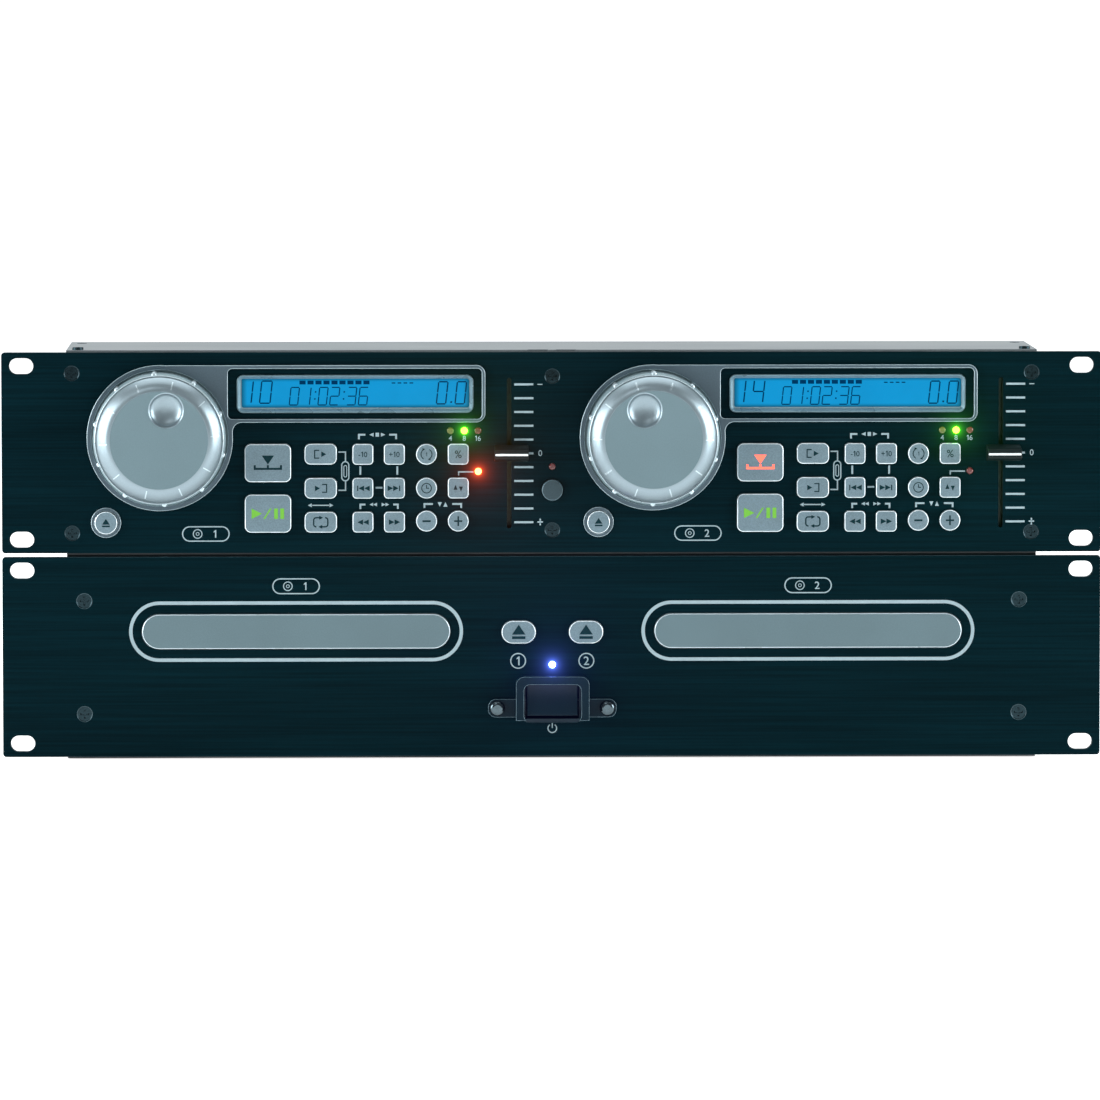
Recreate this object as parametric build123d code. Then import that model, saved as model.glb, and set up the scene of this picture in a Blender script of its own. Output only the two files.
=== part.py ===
"""Dual disc player for a rack: a two-deck controller stacked on a two-tray player, in millimetres.

+X runs to the right seen from the front, +Y to the back, +Z up. The origin is the middle of the player's
bottom face. Places on a front panel are given as (x, z), with z above that panel's lower edge.
"""

from build123d import *
import os

# Rack standard and cases
UNIT_PITCH = 89.8  # height of one case, so the distance between the two units
PANEL_W = 482.6
PANEL_H = 88.1
PANEL_T = 3.0
PANEL_CORNER_R = 1.5
RACK_HOLES_W = 465.1
RACK_HOLES_H = 76.2
RACK_SLOT_L = 10.6
RACK_SLOT_H = 7.0
CASE_W = 426.0
PLAYER_D = 250.0
CONTROLLER_D = 70.0
SHEET_T = 1.2  # case steel
FLANGE_W = 11.0  # folded edges of the cases

# Clearances
KEY_GAP = 0.25  # key to the hole it runs in
FLANGE_GAP = 0.3  # key flange to the panel's back
FIT_GAP = 0.05  # running shaft in its bearing
PART_GAP = 0.3  # any other moving piece to its neighbour
SNUG_GAP = 0.1  # fixed piece in its hole

# Heights and depths worked out from the above
PANEL_Z = (UNIT_PITCH - PANEL_H) / 2  # panel's lower edge above its case's bottom
CASE_FRONT = -PLAYER_D / 2
FRONT = CASE_FRONT - PANEL_T  # y of both panels' front faces
PLAYER_BACK = PLAYER_D / 2
CONTROLLER_BACK = CASE_FRONT + CONTROLLER_D
PLAYER_BASE = 0.0
CONTROLLER_BASE = PLAYER_BASE + UNIT_PITCH
LOW = PLAYER_BASE + PANEL_Z  # z of the player panel's lower edge
HIGH = CONTROLLER_BASE + PANEL_Z  # z of the controller panel's lower edge
MID_Z = PANEL_H / 2

# Keys
KEY_PROUD = 2.2
KEY_EDGE = 0.5  # rounding of the cap's front edge
KEY_TRAVEL = 1.0
KEY_FLANGE_T = 1.0
KEY_FLANGE_OUT = 0.8
STEM_R = 1.5
STEM_L = 2.7
SWITCH_GAP = KEY_TRAVEL + 0.2
SWITCH_W = 5.0
SWITCH_H = 2.8
BOARD_T = 1.6
FLANGE_FRONT = CASE_FRONT + FLANGE_GAP
SWITCH_FRONT = FLANGE_FRONT + KEY_FLANGE_T + STEM_L + SWITCH_GAP
BOARD_FRONT = SWITCH_FRONT + SWITCH_H

# Controller decks: places are those of deck 1, and deck 2 stands DECK_PITCH to the right
DECK_PITCH = 216.0
DECKS = {"deck1": 0.0, "deck2": DECK_PITCH}
JOG_X = -172.0
JOG_Z = 50.6
JOG_RIM_R = 29.0
JOG_GROOVE_R = 27.5
JOG_BAND_R = 27.1
JOG_FLAT_R = 21.5
JOG_H = 19.0
JOG_BAND_H = 15.5
JOG_RIM_H = 14.0
JOG_CHAMFER = 0.8
JOG_DRAFT = 0.3
JOG_RIM_ROUND = 0.6
JOG_GROOVE_DEPTH = 0.8
JOG_LIFT = 1.0  # wheel's back above the panel
JOG_NUBS = 10
JOG_NUB_R = 1.2
JOG_NUB_OUT = 0.6  # nub beyond the rim
DIMPLE_R = 7.8
DIMPLE_DEPTH = 2.2
DIMPLE_OFF = 13.5
DIMPLE_TURN = {"deck1": 13.6, "deck2": -17.5}  # degrees clockwise from the top
JOG_SHAFT_R = 3.0
ENCODER_R = 8.0
ENCODER_FRONT = CASE_FRONT + 1.0
ENCODER_FLOOR = 0.5

BEZEL_T = 2.0
BEZEL_R = 32.0
BEZEL_INNER_R = JOG_RIM_R + JOG_NUB_OUT + PART_GAP
FRAME_RIGHT = -29.4
FRAME_TOP = 82.5
FRAME_BOTTOM = 57.4
FRAME_R = 4.0
WINDOW_LEFT = -142.2
WINDOW_RIGHT = -30.9
WINDOW_LOW = 58.9
WINDOW_HIGH = 81.0
WINDOW_R = 2.0

SCREEN_X = -86.45
SCREEN_Z = 69.85
SCREEN_W = 103.7
SCREEN_H = 16.7
SCREEN_R = 3.0
SCREEN_PROUD = 1.2
GLASS_X = -86.3
GLASS_Z = 70.3
GLASS_W = 99.8
GLASS_H = 13.0
GLASS_SUNK = 1.4
GLASS_T = 1.0
GLASS_R = 1.0

KEYS = {  # name: list of (x, z, width, height, corner radius) of each cap
    "cue_key": [(-124.7, 39.6, 20.3, 16.7, 2.8)],
    "play_key": [(-124.7, 17.4, 20.3, 16.7, 2.8)],
    "loop_in_key": [(-101.6, 43.5, 14.1, 9.1, 2.7)],
    "loop_out_key": [(-101.6, 28.5, 14.1, 9.1, 2.7)],
    "reloop_key": [(-101.6, 13.6, 14.1, 9.1, 2.7)],
    "track_keys": [(-83.1, 43.4, 9.1, 9.1, 1.8), (-69.3, 43.4, 9.1, 9.1, 1.8)],
    "skip_keys": [(-83.1, 28.5, 9.1, 9.1, 1.8), (-69.3, 28.5, 9.1, 9.1, 1.8)],
    "search_keys": [(-83.1, 13.6, 9.1, 9.1, 1.8), (-69.3, 13.6, 9.1, 9.1, 1.8)],
    "percent_key": [(-41.3, 43.4, 9.1, 9.1, 1.8)],
    "pitch_key": [(-41.3, 28.5, 9.1, 9.1, 1.8)],
    "single_key": [(-55.2, 43.4, 9.1, 9.1, 4.54)],
    "time_key": [(-55.2, 28.5, 9.1, 9.1, 4.54)],
    "bend_down_key": [(-55.2, 14.0, 9.1, 9.1, 4.54)],
    "bend_up_key": [(-41.3, 14.0, 9.1, 9.1, 4.54)],
    "eject_key": [(-195.7, 13.4, 10.0, 10.0, 4.99)],
}
EJECT_RING_R = 6.6
EJECT_RING_T = 0.8
RELAY_KEY = (0.0, 27.5, 9.2, 9.2, 4.59)
OPEN_KEYS = {"open_key_1": (-14.8, 54.8, 15.0, 10.0, 4.99), "open_key_2": (14.8, 54.8, 15.0, 10.0, 4.99)}

# Lamps
LAMP_R = 1.5
LAMP_PROUD = 0.6
DECK_LAMPS = [(-44.7, 53.6), (-38.6, 53.6), (-32.6, 53.6), (-32.5, 35.7)]
RELAY_LAMP = (0.0, 37.8)
POWER_LAMP = (0.0, 40.3)

# Pitch fader
FADER_X = -18.9
FADER_SLOT_W = 2.0
FADER_TRAVEL = 30.0  # each way from the middle
CAP_X = -18.0
CAP_Z = 43.7
CAP_W = 14.9
CAP_H = 7.3
CAP_OUT = 12.0
CAP_LIFT = 0.7
CAP_SLOPE_W = 1.5  # the cap's sides step in by its slope and then by its round
CAP_SLOPE_H = 1.0
CAP_TIP_H = 2.0
BLADE_T = 1.2
BLADE_H = 3.6
BLADE_IN = 5.0  # how far the blade reaches into the potentiometer
FADER_REACH = FADER_TRAVEL + BLADE_H / 2 + 1.3  # end of the slot from its middle
POT_W = 8.0
POT_H = 2 * FADER_REACH + 8.0
POT_FRONT = CASE_FRONT + 1.6

# Player: trays
TRAY_X = 112.5
TRAYS = {"1": -TRAY_X, "2": TRAY_X}
TRAY_Z = LOW + 55.2
TRAY_FACE_W = 135.3
TRAY_FACE_H = 15.3
TRAY_FACE_T = 4.0
TRAY_PROUD = 1.2
TRAY_W = 128.0
TRAY_T = 7.0
TRAY_DROP = 4.5  # tray's underside below the middle of its face
TRAY_TRAVEL = 140.0
TRAY_L = TRAY_TRAVEL + 25.0  # the rest stays in the runners when the tray is out
TRAY_BACK_Y = FRONT - TRAY_PROUD + TRAY_FACE_T
DISC_R = 60.0
DISC_ROOM = 0.7
SMALL_DISC_R = 40.0
RECESS_DEPTH = 3.0
SMALL_RECESS_DEPTH = 1.2
DISC_OFF = 64.0  # disc's centre behind the tray's face
DISC_Y = TRAY_BACK_Y + DISC_OFF
PICKUP_SLOT_W = 60.0
PICKUP_SLOT_FRONT = 22.0
PICKUP_SLOT_BACK = 84.0

# Player: disc transports
BASE_Z = 20.0
BASE_T = 2.0
WALL_T = 3.0
WALL_IN = TRAY_W / 2 + PART_GAP
RUNNER_IN = 4.0
RUNNER_T = 2.0
TRANSPORT_FRONT = CASE_FRONT + 8.0
TRANSPORT_BACK = TRANSPORT_FRONT + 190.0
POST_R = 4.0
POST_INSET = 12.0
BRIDGE_W = 36.0
BRIDGE_T = 2.0
PUCK_R = 15.0
PUCK_NECK_R = 10.0
PUCK_T = 2.0
TRAY_TOP = TRAY_Z - TRAY_DROP + TRAY_T
TRAY_BOTTOM = TRAY_Z - TRAY_DROP
PUCK_Z = TRAY_TOP + 1.2
BRIDGE_Z = PUCK_Z + PUCK_T + PART_GAP
DECK_PLATE_Z = 29.0
DECK_PLATE_T = 2.0
DECK_PLATE_W = 70.0
DECK_PLATE_FRONT = 30.0
DECK_PLATE_BACK = 78.0
DAMPER_R = 4.0
DAMPER_INSET = 6.0  # damper's axis in from the plate's side
MOTOR_R = 11.0
MOTOR_H = 8.0
MOTOR_BORE_DEPTH = 5.0
SPINDLE_R = 1.5
TABLE_R = 14.0
TABLE_T = 3.0
TABLE_GAP = 2.0
CONE_R = 7.4
CONE_TIP_R = 5.0
CONE_H = 3.0
PICKUP_W = 52.0
PICKUP_L = 20.0
PICKUP_H = 6.0
PICKUP_START = 14.0
PICKUP_TRAVEL = 34.0
PICKUP_LIFT = 2.0
LENS_R = 4.0
LENS_H = 1.8
ROD_R = 1.5
ROD_SPREAD = 22.0
ROD_Z = DECK_PLATE_Z + DECK_PLATE_T + PICKUP_LIFT + PICKUP_H / 2
HOLDER_L = 4.0
HOLDER_W = 8.0
HOLDER_OVER = 1.5  # holder above the rod
HOLDER_FRONT = 8.0
HOLDER_BACK = PICKUP_START + PICKUP_L + PICKUP_TRAVEL + 4.0
LOADER = (26.0, 18.0, 22.0)
LOADER_INSET = 2.0

# Player: power rocker and its guard
GUARD_W = 32.1
GUARD_LOW = 16.4
GUARD_HIGH = 35.7
GUARD_BAR = 3.6
GUARD_OUT = 9.0
GUARD_R = 3.0
EAR_LOW = 17.2
EAR_HIGH = 25.2
EAR_T = 1.5
EAR_X = 28.2
EAR_SCREW = (24.2, 21.2)
DOME_R = 3.4
DOME_H = 2.0
ROCKER_W = 22.2
ROCKER_LOW = 17.2
ROCKER_HIGH = 31.7
ROCKER_TILT = 8.0  # each way from its middle, with the lower end out at rest
ROCKER_TIP = 4.6  # ends of its face in front of the pin
ROCKER_MIDDLE = 3.4
ROCKER_BACK = 3.0
ROCKER_SHOULDER = 1.0  # where its sides start to narrow, in front of the pin
ROCKER_END_GAP = 0.15
ROCKER_GAP = 0.75
ROCKER_PIN_R = 1.2
ROCKER_PIN_IN = 3.8  # pin behind the panel's front
SWITCH_BODY_WALL = 1.6
SWITCH_BODY_DEPTH = 14.0
SWITCH_BODY_FLOOR = 2.0

# Screws
SCREW_R = 1.5
SCREW_L = 7.0
HEAD_R = 3.3
HEAD_DEPTH = 1.7
PAN_R = 2.5
PAN_H = 1.6
CONTROLLER_SCREWS = [(-210.5, 79.0), (210.5, 79.0), (-210.5, 8.8), (210.5, 8.8), (0.0, 77.5), (0.0, 9.9)]
PLAYER_SCREWS = [(-205.4, 68.7), (205.4, 68.7), (-205.4, 18.9), (205.4, 18.9)]
COVER_SCREW_INSET = 5.0
CONTROLLER_COVER_SCREWS_Y = [CASE_FRONT + 5.0, CONTROLLER_BACK - 12.0]
PLAYER_COVER_SCREWS_Y = [CONTROLLER_BACK + 20.0, PLAYER_BACK - 12.0]
TAB_W = 14.0
NOTCH_W = 21.0
NOTCH_D = 2.5
NOTCH_TAB_W = 3.5

# Boards and rear
SPACER_R = 2.0
BOARD_SPACERS = [(-172.0, 9.0), (-142.0, 55.0), (-110.0, 55.0), (-62.0, 55.0)]
BOARD_W = 404.0
BOARD_LOW = 6.0
BOARD_HIGH = 83.0
MAIN_BOARD = (44.0, 204.0, 76.0, 119.0)  # x and y limits
SUPPLY_BOARD = (-34.0, 34.0, -60.0, 80.0)
KEY_BOARD = (-30.0, 30.0, 38.0, 66.0)  # x and z limits
KEY_BOARD_SPACER_X = 27.0
STANDOFF_H = 6.0
STANDOFF_INSET = 5.0
TRANSFORMER = (-24.0, 24.0, -44.0, 0.0, 38.0)  # x and y limits, height
HEAT_SINK = (-26.0, 26.0, 14.0, 18.0, 30.0)
CHIPS = [(80.0, 98.0, 84.0, 102.0, 3.0), (120.0, 138.0, 84.0, 102.0, 3.0), (160.0, 178.0, 84.0, 102.0, 3.0)]
CAPACITORS = [(-18.0, 34.0), (2.0, 34.0), (20.0, 34.0)]
CAPACITOR_R = 7.0
CAPACITOR_H = 25.0
SOCKET_Z = PLAYER_BASE + 40.0
RCA_X = [60.0, 76.0, 130.0, 146.0]
RCA_SPREAD = 8.0  # upper and lower row from their middle
JACKS_X = [96.0, 166.0]
DINS_X = [-10.0, -80.0]
CONTROLLER_DINS_X = [-14.0, 14.0]
RCA_R = 4.2
RCA_BORE_R = 1.6
RCA_OUT = 8.0
RCA_FLANGE = 12.0
DIN_R = 7.0
DIN_RECESS_R = 5.6
DIN_OUT = 1.5
DIN_FLANGE = 17.0
JACK_R = 5.0
JACK_BORE_R = 1.9
JACK_OUT = 3.0
SOCKET_BODY_D = 10.0
SOCKET_FLOOR = 1.0  # bore's floor behind the case's back
INLET_X = -175.0
INLET_W = 27.5
INLET_H = 20.0
INLET_D = 24.0
INLET_WALL = 2.0
INLET_FLANGE_W = 48.0
INLET_FLANGE_H = 24.0
INLET_FLANGE_T = 2.0
INLET_FLANGE_R = 3.0
PIN_W = 2.0
PIN_H = 4.0
PIN_L = 12.0
PINS = [(-7.0, -1.5), (0.0, 2.0), (7.0, -1.5)]  # x and z from the inlet's middle
VOLTAGE_X = -128.0
VOLTAGE_W = 20.0
VOLTAGE_H = 10.0
VOLTAGE_D = 8.0
VOLTAGE_WALL = 2.0
VENT_L = 30.0
VENT_H = 2.5
VENT_PITCH = 6.0
VENTS = 8
VENT_Y = 40.0


def prism(sketch, y_front, y_back):
    """Solid of an (x, z) sketch between two depths."""
    plane = Plane(origin=(0, y_back, 0), x_dir=(1, 0, 0), z_dir=(0, -1, 0))
    return extrude(plane * sketch, amount=y_back - y_front)


def slab(x0, x1, y0, y1, z0, z1):
    """Block between two corners, given in either order."""
    return Pos((x0 + x1) / 2, (y0 + y1) / 2, (z0 + z1) / 2) * Box(abs(x1 - x0), abs(y1 - y0), abs(z1 - z0))


def rod_y(x, z, r, y_front, y_back):
    """Round bar along Y."""
    return prism(Pos(x, z) * Circle(r), y_front, y_back)


def post_z(x, y, r, z0, z1):
    """Round bar along Z."""
    return Pos(x, y, (z0 + z1) / 2) * Cylinder(r, z1 - z0)


def cap_outline(width, height, radius, grow=0.0):
    """Rounded outline of a key, grown by a gap or shrunk by a negative one."""
    return RectangleRounded(width + 2 * grow, height + 2 * grow, radius + grow)


def tray_outline(grow=0.0):
    return SlotOverall(TRAY_FACE_W + 2 * grow, TRAY_FACE_H + 2 * grow)


def node(name, *solids):
    """Write one node's solids to its file."""
    shapes = [part for solid in solids for part in solid.solids()]
    export_step(shapes[0] if len(shapes) == 1 else Compound(children=shapes), f"parts/{name}.step")


def key_cap(x, z, width, height, radius, base):
    """Key cap with its flange behind the panel and its stem to the switch."""
    place = Pos(x, base + z)
    cap = prism(place * cap_outline(width, height, radius), FRONT - KEY_PROUD, FLANGE_FRONT)
    front_edges = cap.faces().sort_by(Axis.Y)[0].edges()
    cap = fillet(front_edges, KEY_EDGE)
    flange_back = FLANGE_FRONT + KEY_FLANGE_T
    flange = prism(place * cap_outline(width, height, radius, KEY_FLANGE_OUT), FLANGE_FRONT, flange_back)
    stem = rod_y(x, base + z, STEM_R, flange_back, flange_back + STEM_L)
    return cap + flange + stem


def key_hole(x, z, width, height, radius, base):
    outline = Pos(x, base + z) * cap_outline(width, height, radius, KEY_GAP)
    return prism(outline, FRONT - 1, CASE_FRONT + 1)


def key_switch(x, z, base):
    """Switch that a key's stem pushes, standing on the board."""
    return prism(Pos(x, base + z) * Rectangle(SWITCH_W, SWITCH_W), SWITCH_FRONT, BOARD_FRONT)


def countersink(x, z, base, grow):
    """Space of a countersunk head and its shank in the panel, as large as the screw plus a gap."""
    head = Rot(90, 0, 0) * Cone(SCREW_R + grow, HEAD_R + grow, HEAD_DEPTH)
    head = Pos(x, FRONT + HEAD_DEPTH / 2, base + z) * head
    return head + rod_y(x, base + z, SCREW_R + grow, FRONT + HEAD_DEPTH, CASE_FRONT + SCREW_L)


def blank_panel(base, screws):
    """Rack panel with its four slots and its countersunk screw holes."""
    outline = Pos(0, base + MID_Z) * RectangleRounded(PANEL_W, PANEL_H, PANEL_CORNER_R)
    for side in (-1, 1):
        for level in (-1, 1):
            place = Pos(side * RACK_HOLES_W / 2, base + MID_Z + level * RACK_HOLES_H / 2)
            outline -= place * SlotOverall(RACK_SLOT_L, RACK_SLOT_H)
    panel = prism(outline, FRONT, CASE_FRONT)
    for x, z in screws:
        panel -= countersink(x, z, base, SNUG_GAP)
    return panel


def shifted(place, offset):
    """A deck 1 place moved to another deck."""
    return (place[0] + offset, *place[1:])


def controller_front_panel():
    panel = blank_panel(HIGH, CONTROLLER_SCREWS)
    panel -= key_hole(*RELAY_KEY, HIGH)
    panel -= rod_y(RELAY_LAMP[0], HIGH + RELAY_LAMP[1], LAMP_R + SNUG_GAP, FRONT - 1, CASE_FRONT + 1)
    for offset in DECKS.values():
        for caps in KEYS.values():
            for cap in caps:
                panel -= key_hole(*shifted(cap, offset), HIGH)
        for x, z in DECK_LAMPS:
            panel -= rod_y(x + offset, HIGH + z, LAMP_R + SNUG_GAP, FRONT - 1, CASE_FRONT + 1)
        panel -= rod_y(JOG_X + offset, HIGH + JOG_Z, JOG_SHAFT_R + PART_GAP, FRONT - 1, CASE_FRONT + 1)
        slot = Pos(FADER_X + offset, HIGH + CAP_Z) * SlotOverall(2 * FADER_REACH, FADER_SLOT_W, rotation=90)
        panel -= prism(slot, FRONT - 1, CASE_FRONT + 1)
        screen = Pos(SCREEN_X + offset, HIGH + SCREEN_Z) * cap_outline(SCREEN_W, SCREEN_H, SCREEN_R, SNUG_GAP)
        panel -= prism(screen, FRONT - 1, CASE_FRONT + 1)
    return panel


def player_front_panel():
    panel = blank_panel(LOW, PLAYER_SCREWS)
    for x in TRAYS.values():
        panel -= prism(Pos(x, TRAY_Z) * tray_outline(PART_GAP), FRONT - 1, CASE_FRONT + 1)
    for key in OPEN_KEYS.values():
        panel -= key_hole(*key, LOW)
    panel -= rod_y(POWER_LAMP[0], LOW + POWER_LAMP[1], LAMP_R + SNUG_GAP, FRONT - 1, CASE_FRONT + 1)
    for side in (-1, 1):
        panel -= rod_y(side * EAR_SCREW[0], LOW + EAR_SCREW[1], SCREW_R + SNUG_GAP, FRONT - 1, CASE_FRONT + 1)
    body = cap_outline(ROCKER_W, ROCKER_HIGH - ROCKER_LOW, 1.0, ROCKER_GAP + SWITCH_BODY_WALL + SNUG_GAP)
    panel -= prism(Pos(0, LOW + (ROCKER_LOW + ROCKER_HIGH) / 2) * body, FRONT - 1, CASE_FRONT + 1)
    return panel


def chassis(base, depth, screws):
    """Folded steel tray of one unit: floor, sides, back, front flanges and top flanges."""
    back = CASE_FRONT + depth
    top = base + UNIT_PITCH - SHEET_T
    half = CASE_W / 2
    body = slab(-half, half, CASE_FRONT, back, base, base + SHEET_T)
    body += slab(-half, half, back - SHEET_T, back, base, top)
    for side in (-1, 1):
        inner = side * (half - SHEET_T)
        body += slab(side * half, inner, CASE_FRONT, back, base, top)
        fold = side * (half - FLANGE_W)
        body += slab(side * half, fold, CASE_FRONT, CASE_FRONT + SHEET_T, base, top)
        body += slab(side * half, fold, CASE_FRONT, back, top - SHEET_T, top)
    for x, z in screws:
        if x != 0:
            level = base + PANEL_Z + z
            body -= rod_y(x, level, SCREW_R + SNUG_GAP, CASE_FRONT - 1, CASE_FRONT + SCREW_L + 1)
    return body


def cover(base, depth, screws_y):
    """Flat lid that lies on the case's top flanges."""
    back = CASE_FRONT + depth
    half = CASE_W / 2
    top = base + UNIT_PITCH
    lid = slab(-half, half, CASE_FRONT, back, top - SHEET_T, top)
    for side in (-1, 1):
        x = side * (half - COVER_SCREW_INSET)
        for y in screws_y:
            lid -= post_z(x, y, SCREW_R + SNUG_GAP, top - 2 * SHEET_T, top + 1)
    return lid


def drill_cover_screws(body, base, screws_y):
    top = base + UNIT_PITCH
    for side in (-1, 1):
        x = side * (CASE_W / 2 - COVER_SCREW_INSET)
        for y in screws_y:
            body -= post_z(x, y, SCREW_R + SNUG_GAP, top - 3 * SHEET_T, top)
    return body


def controller_top_cover():
    """Lid with the notched lug that the top centre screw holds."""
    lid = cover(CONTROLLER_BASE, CONTROLLER_D, CONTROLLER_COVER_SCREWS_Y)
    top = CONTROLLER_BASE + UNIT_PITCH
    lug_y = CASE_FRONT + NOTCH_D
    for side in (-1, 1):
        near = side * NOTCH_TAB_W / 2
        far = side * NOTCH_W / 2
        lid -= slab(near, far, CASE_FRONT - 1, lug_y, top - 2 * SHEET_T, top + 1)
    x, z = CONTROLLER_SCREWS[4]
    lug_low = HIGH + z - TAB_W / 2
    lug = slab(x - TAB_W / 2, x + TAB_W / 2, lug_y, lug_y + SHEET_T, lug_low, top - SHEET_T)
    half = NOTCH_TAB_W / 2
    lug += slab(x - half, x + half, CASE_FRONT, lug_y, top - 2 * SHEET_T, top - SHEET_T)
    lug -= rod_y(x, HIGH + z, SCREW_R + SNUG_GAP, CASE_FRONT, lug_y + SHEET_T + 1)
    return lid + lug


def controller_chassis():
    body = chassis(CONTROLLER_BASE, CONTROLLER_D, CONTROLLER_SCREWS)
    body = drill_cover_screws(body, CONTROLLER_BASE, CONTROLLER_COVER_SCREWS_Y)
    x, z = CONTROLLER_SCREWS[5]
    tab_top = HIGH + z + TAB_W / 2
    body += slab(x - TAB_W / 2, x + TAB_W / 2, CASE_FRONT, CASE_FRONT + SHEET_T, CONTROLLER_BASE, tab_top)
    body -= rod_y(x, HIGH + z, SCREW_R + SNUG_GAP, CASE_FRONT - 1, CASE_FRONT + SCREW_L + 1)
    for socket_x in CONTROLLER_DINS_X:
        body -= rod_y(socket_x, HIGH + MID_Z, DIN_R + SNUG_GAP, CONTROLLER_BACK - 3, CONTROLLER_BACK + 1)
    return body


def rear_places():
    """Round sockets in the player's back wall: (x, z, outer radius, bore radius, reach out, flange width)."""
    places = []
    for x in RCA_X:
        for level in (-1, 1):
            places.append((x, SOCKET_Z + level * RCA_SPREAD, RCA_R, RCA_BORE_R, RCA_OUT, RCA_FLANGE))
    for x in JACKS_X:
        places.append((x, SOCKET_Z - RCA_SPREAD, JACK_R, JACK_BORE_R, JACK_OUT, RCA_FLANGE))
    for x in DINS_X:
        places.append((x, SOCKET_Z, DIN_R, DIN_RECESS_R, DIN_OUT, DIN_FLANGE))
    return places


def player_chassis():
    body = chassis(PLAYER_BASE, PLAYER_D, PLAYER_SCREWS)
    body = drill_cover_screws(body, PLAYER_BASE, PLAYER_COVER_SCREWS_Y)
    back = PLAYER_BACK
    for x, z, outer, *_ in rear_places():
        body -= rod_y(x, z, outer + SNUG_GAP, back - 3, back + 1)
    for x, width, height in ((INLET_X, INLET_W, INLET_H), (VOLTAGE_X, VOLTAGE_W, VOLTAGE_H)):
        window = Pos(x, SOCKET_Z) * Rectangle(width + 2 * SNUG_GAP, height + 2 * SNUG_GAP)
        body -= prism(window, back - 3, back + 1)
    for side in (-1, 1):
        wall = side * (CASE_W / 2 - SHEET_T / 2)
        for index in range(VENTS):
            z = PLAYER_BASE + UNIT_PITCH / 2 + (index - (VENTS - 1) / 2) * VENT_PITCH
            body -= slab(wall - 2, wall + 2, VENT_Y, VENT_Y + VENT_L, z - VENT_H / 2, z + VENT_H / 2)
    return body


def deck_bezel(offset):
    """Ring round the jog wheel and frame round the display, in one flat piece."""
    jog = Pos(JOG_X + offset, HIGH + JOG_Z)
    frame_w = FRAME_RIGHT - JOG_X
    frame_h = FRAME_TOP - FRAME_BOTTOM
    frame_place = Pos(JOG_X + offset + frame_w / 2, HIGH + (FRAME_TOP + FRAME_BOTTOM) / 2)
    outline = jog * Circle(BEZEL_R) + frame_place * RectangleRounded(frame_w, frame_h, FRAME_R)
    on_foot = [v for v in outline.vertices() if abs(v.Y - HIGH - FRAME_BOTTOM) < 0.01]
    on_ring = [v for v in on_foot if v.X < JOG_X + offset + BEZEL_R + 1]
    outline = fillet(max(on_ring, key=lambda v: v.X), FRAME_R)
    window_place = Pos((WINDOW_LEFT + WINDOW_RIGHT) / 2 + offset, HIGH + (WINDOW_LOW + WINDOW_HIGH) / 2)
    outline -= window_place * RectangleRounded(WINDOW_RIGHT - WINDOW_LEFT, WINDOW_HIGH - WINDOW_LOW, WINDOW_R)
    outline -= jog * Circle(BEZEL_INNER_R)
    return prism(outline, FRONT - BEZEL_T, FRONT)


def eject_ring(offset):
    """Raised ring round the eject key."""
    x, z, width = KEYS["eject_key"][0][:3]
    ring = Circle(EJECT_RING_R) - Circle(width / 2 + KEY_GAP)
    return prism(Pos(x + offset, HIGH + z) * ring, FRONT - EJECT_RING_T, FRONT)


def display_module(offset):
    """Display body through the panel down to the board, with its glass in the front."""
    place = Pos(SCREEN_X + offset, HIGH + SCREEN_Z)
    body = prism(place * cap_outline(SCREEN_W, SCREEN_H, SCREEN_R), FRONT - SCREEN_PROUD, BOARD_FRONT)
    pane = Pos(GLASS_X + offset, HIGH + GLASS_Z) * RectangleRounded(GLASS_W, GLASS_H, GLASS_R)
    glass_front = FRONT - SCREEN_PROUD + GLASS_SUNK
    body -= prism(pane, FRONT - SCREEN_PROUD, glass_front + GLASS_T)
    return [body, prism(pane, glass_front, glass_front + GLASS_T)]


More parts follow.
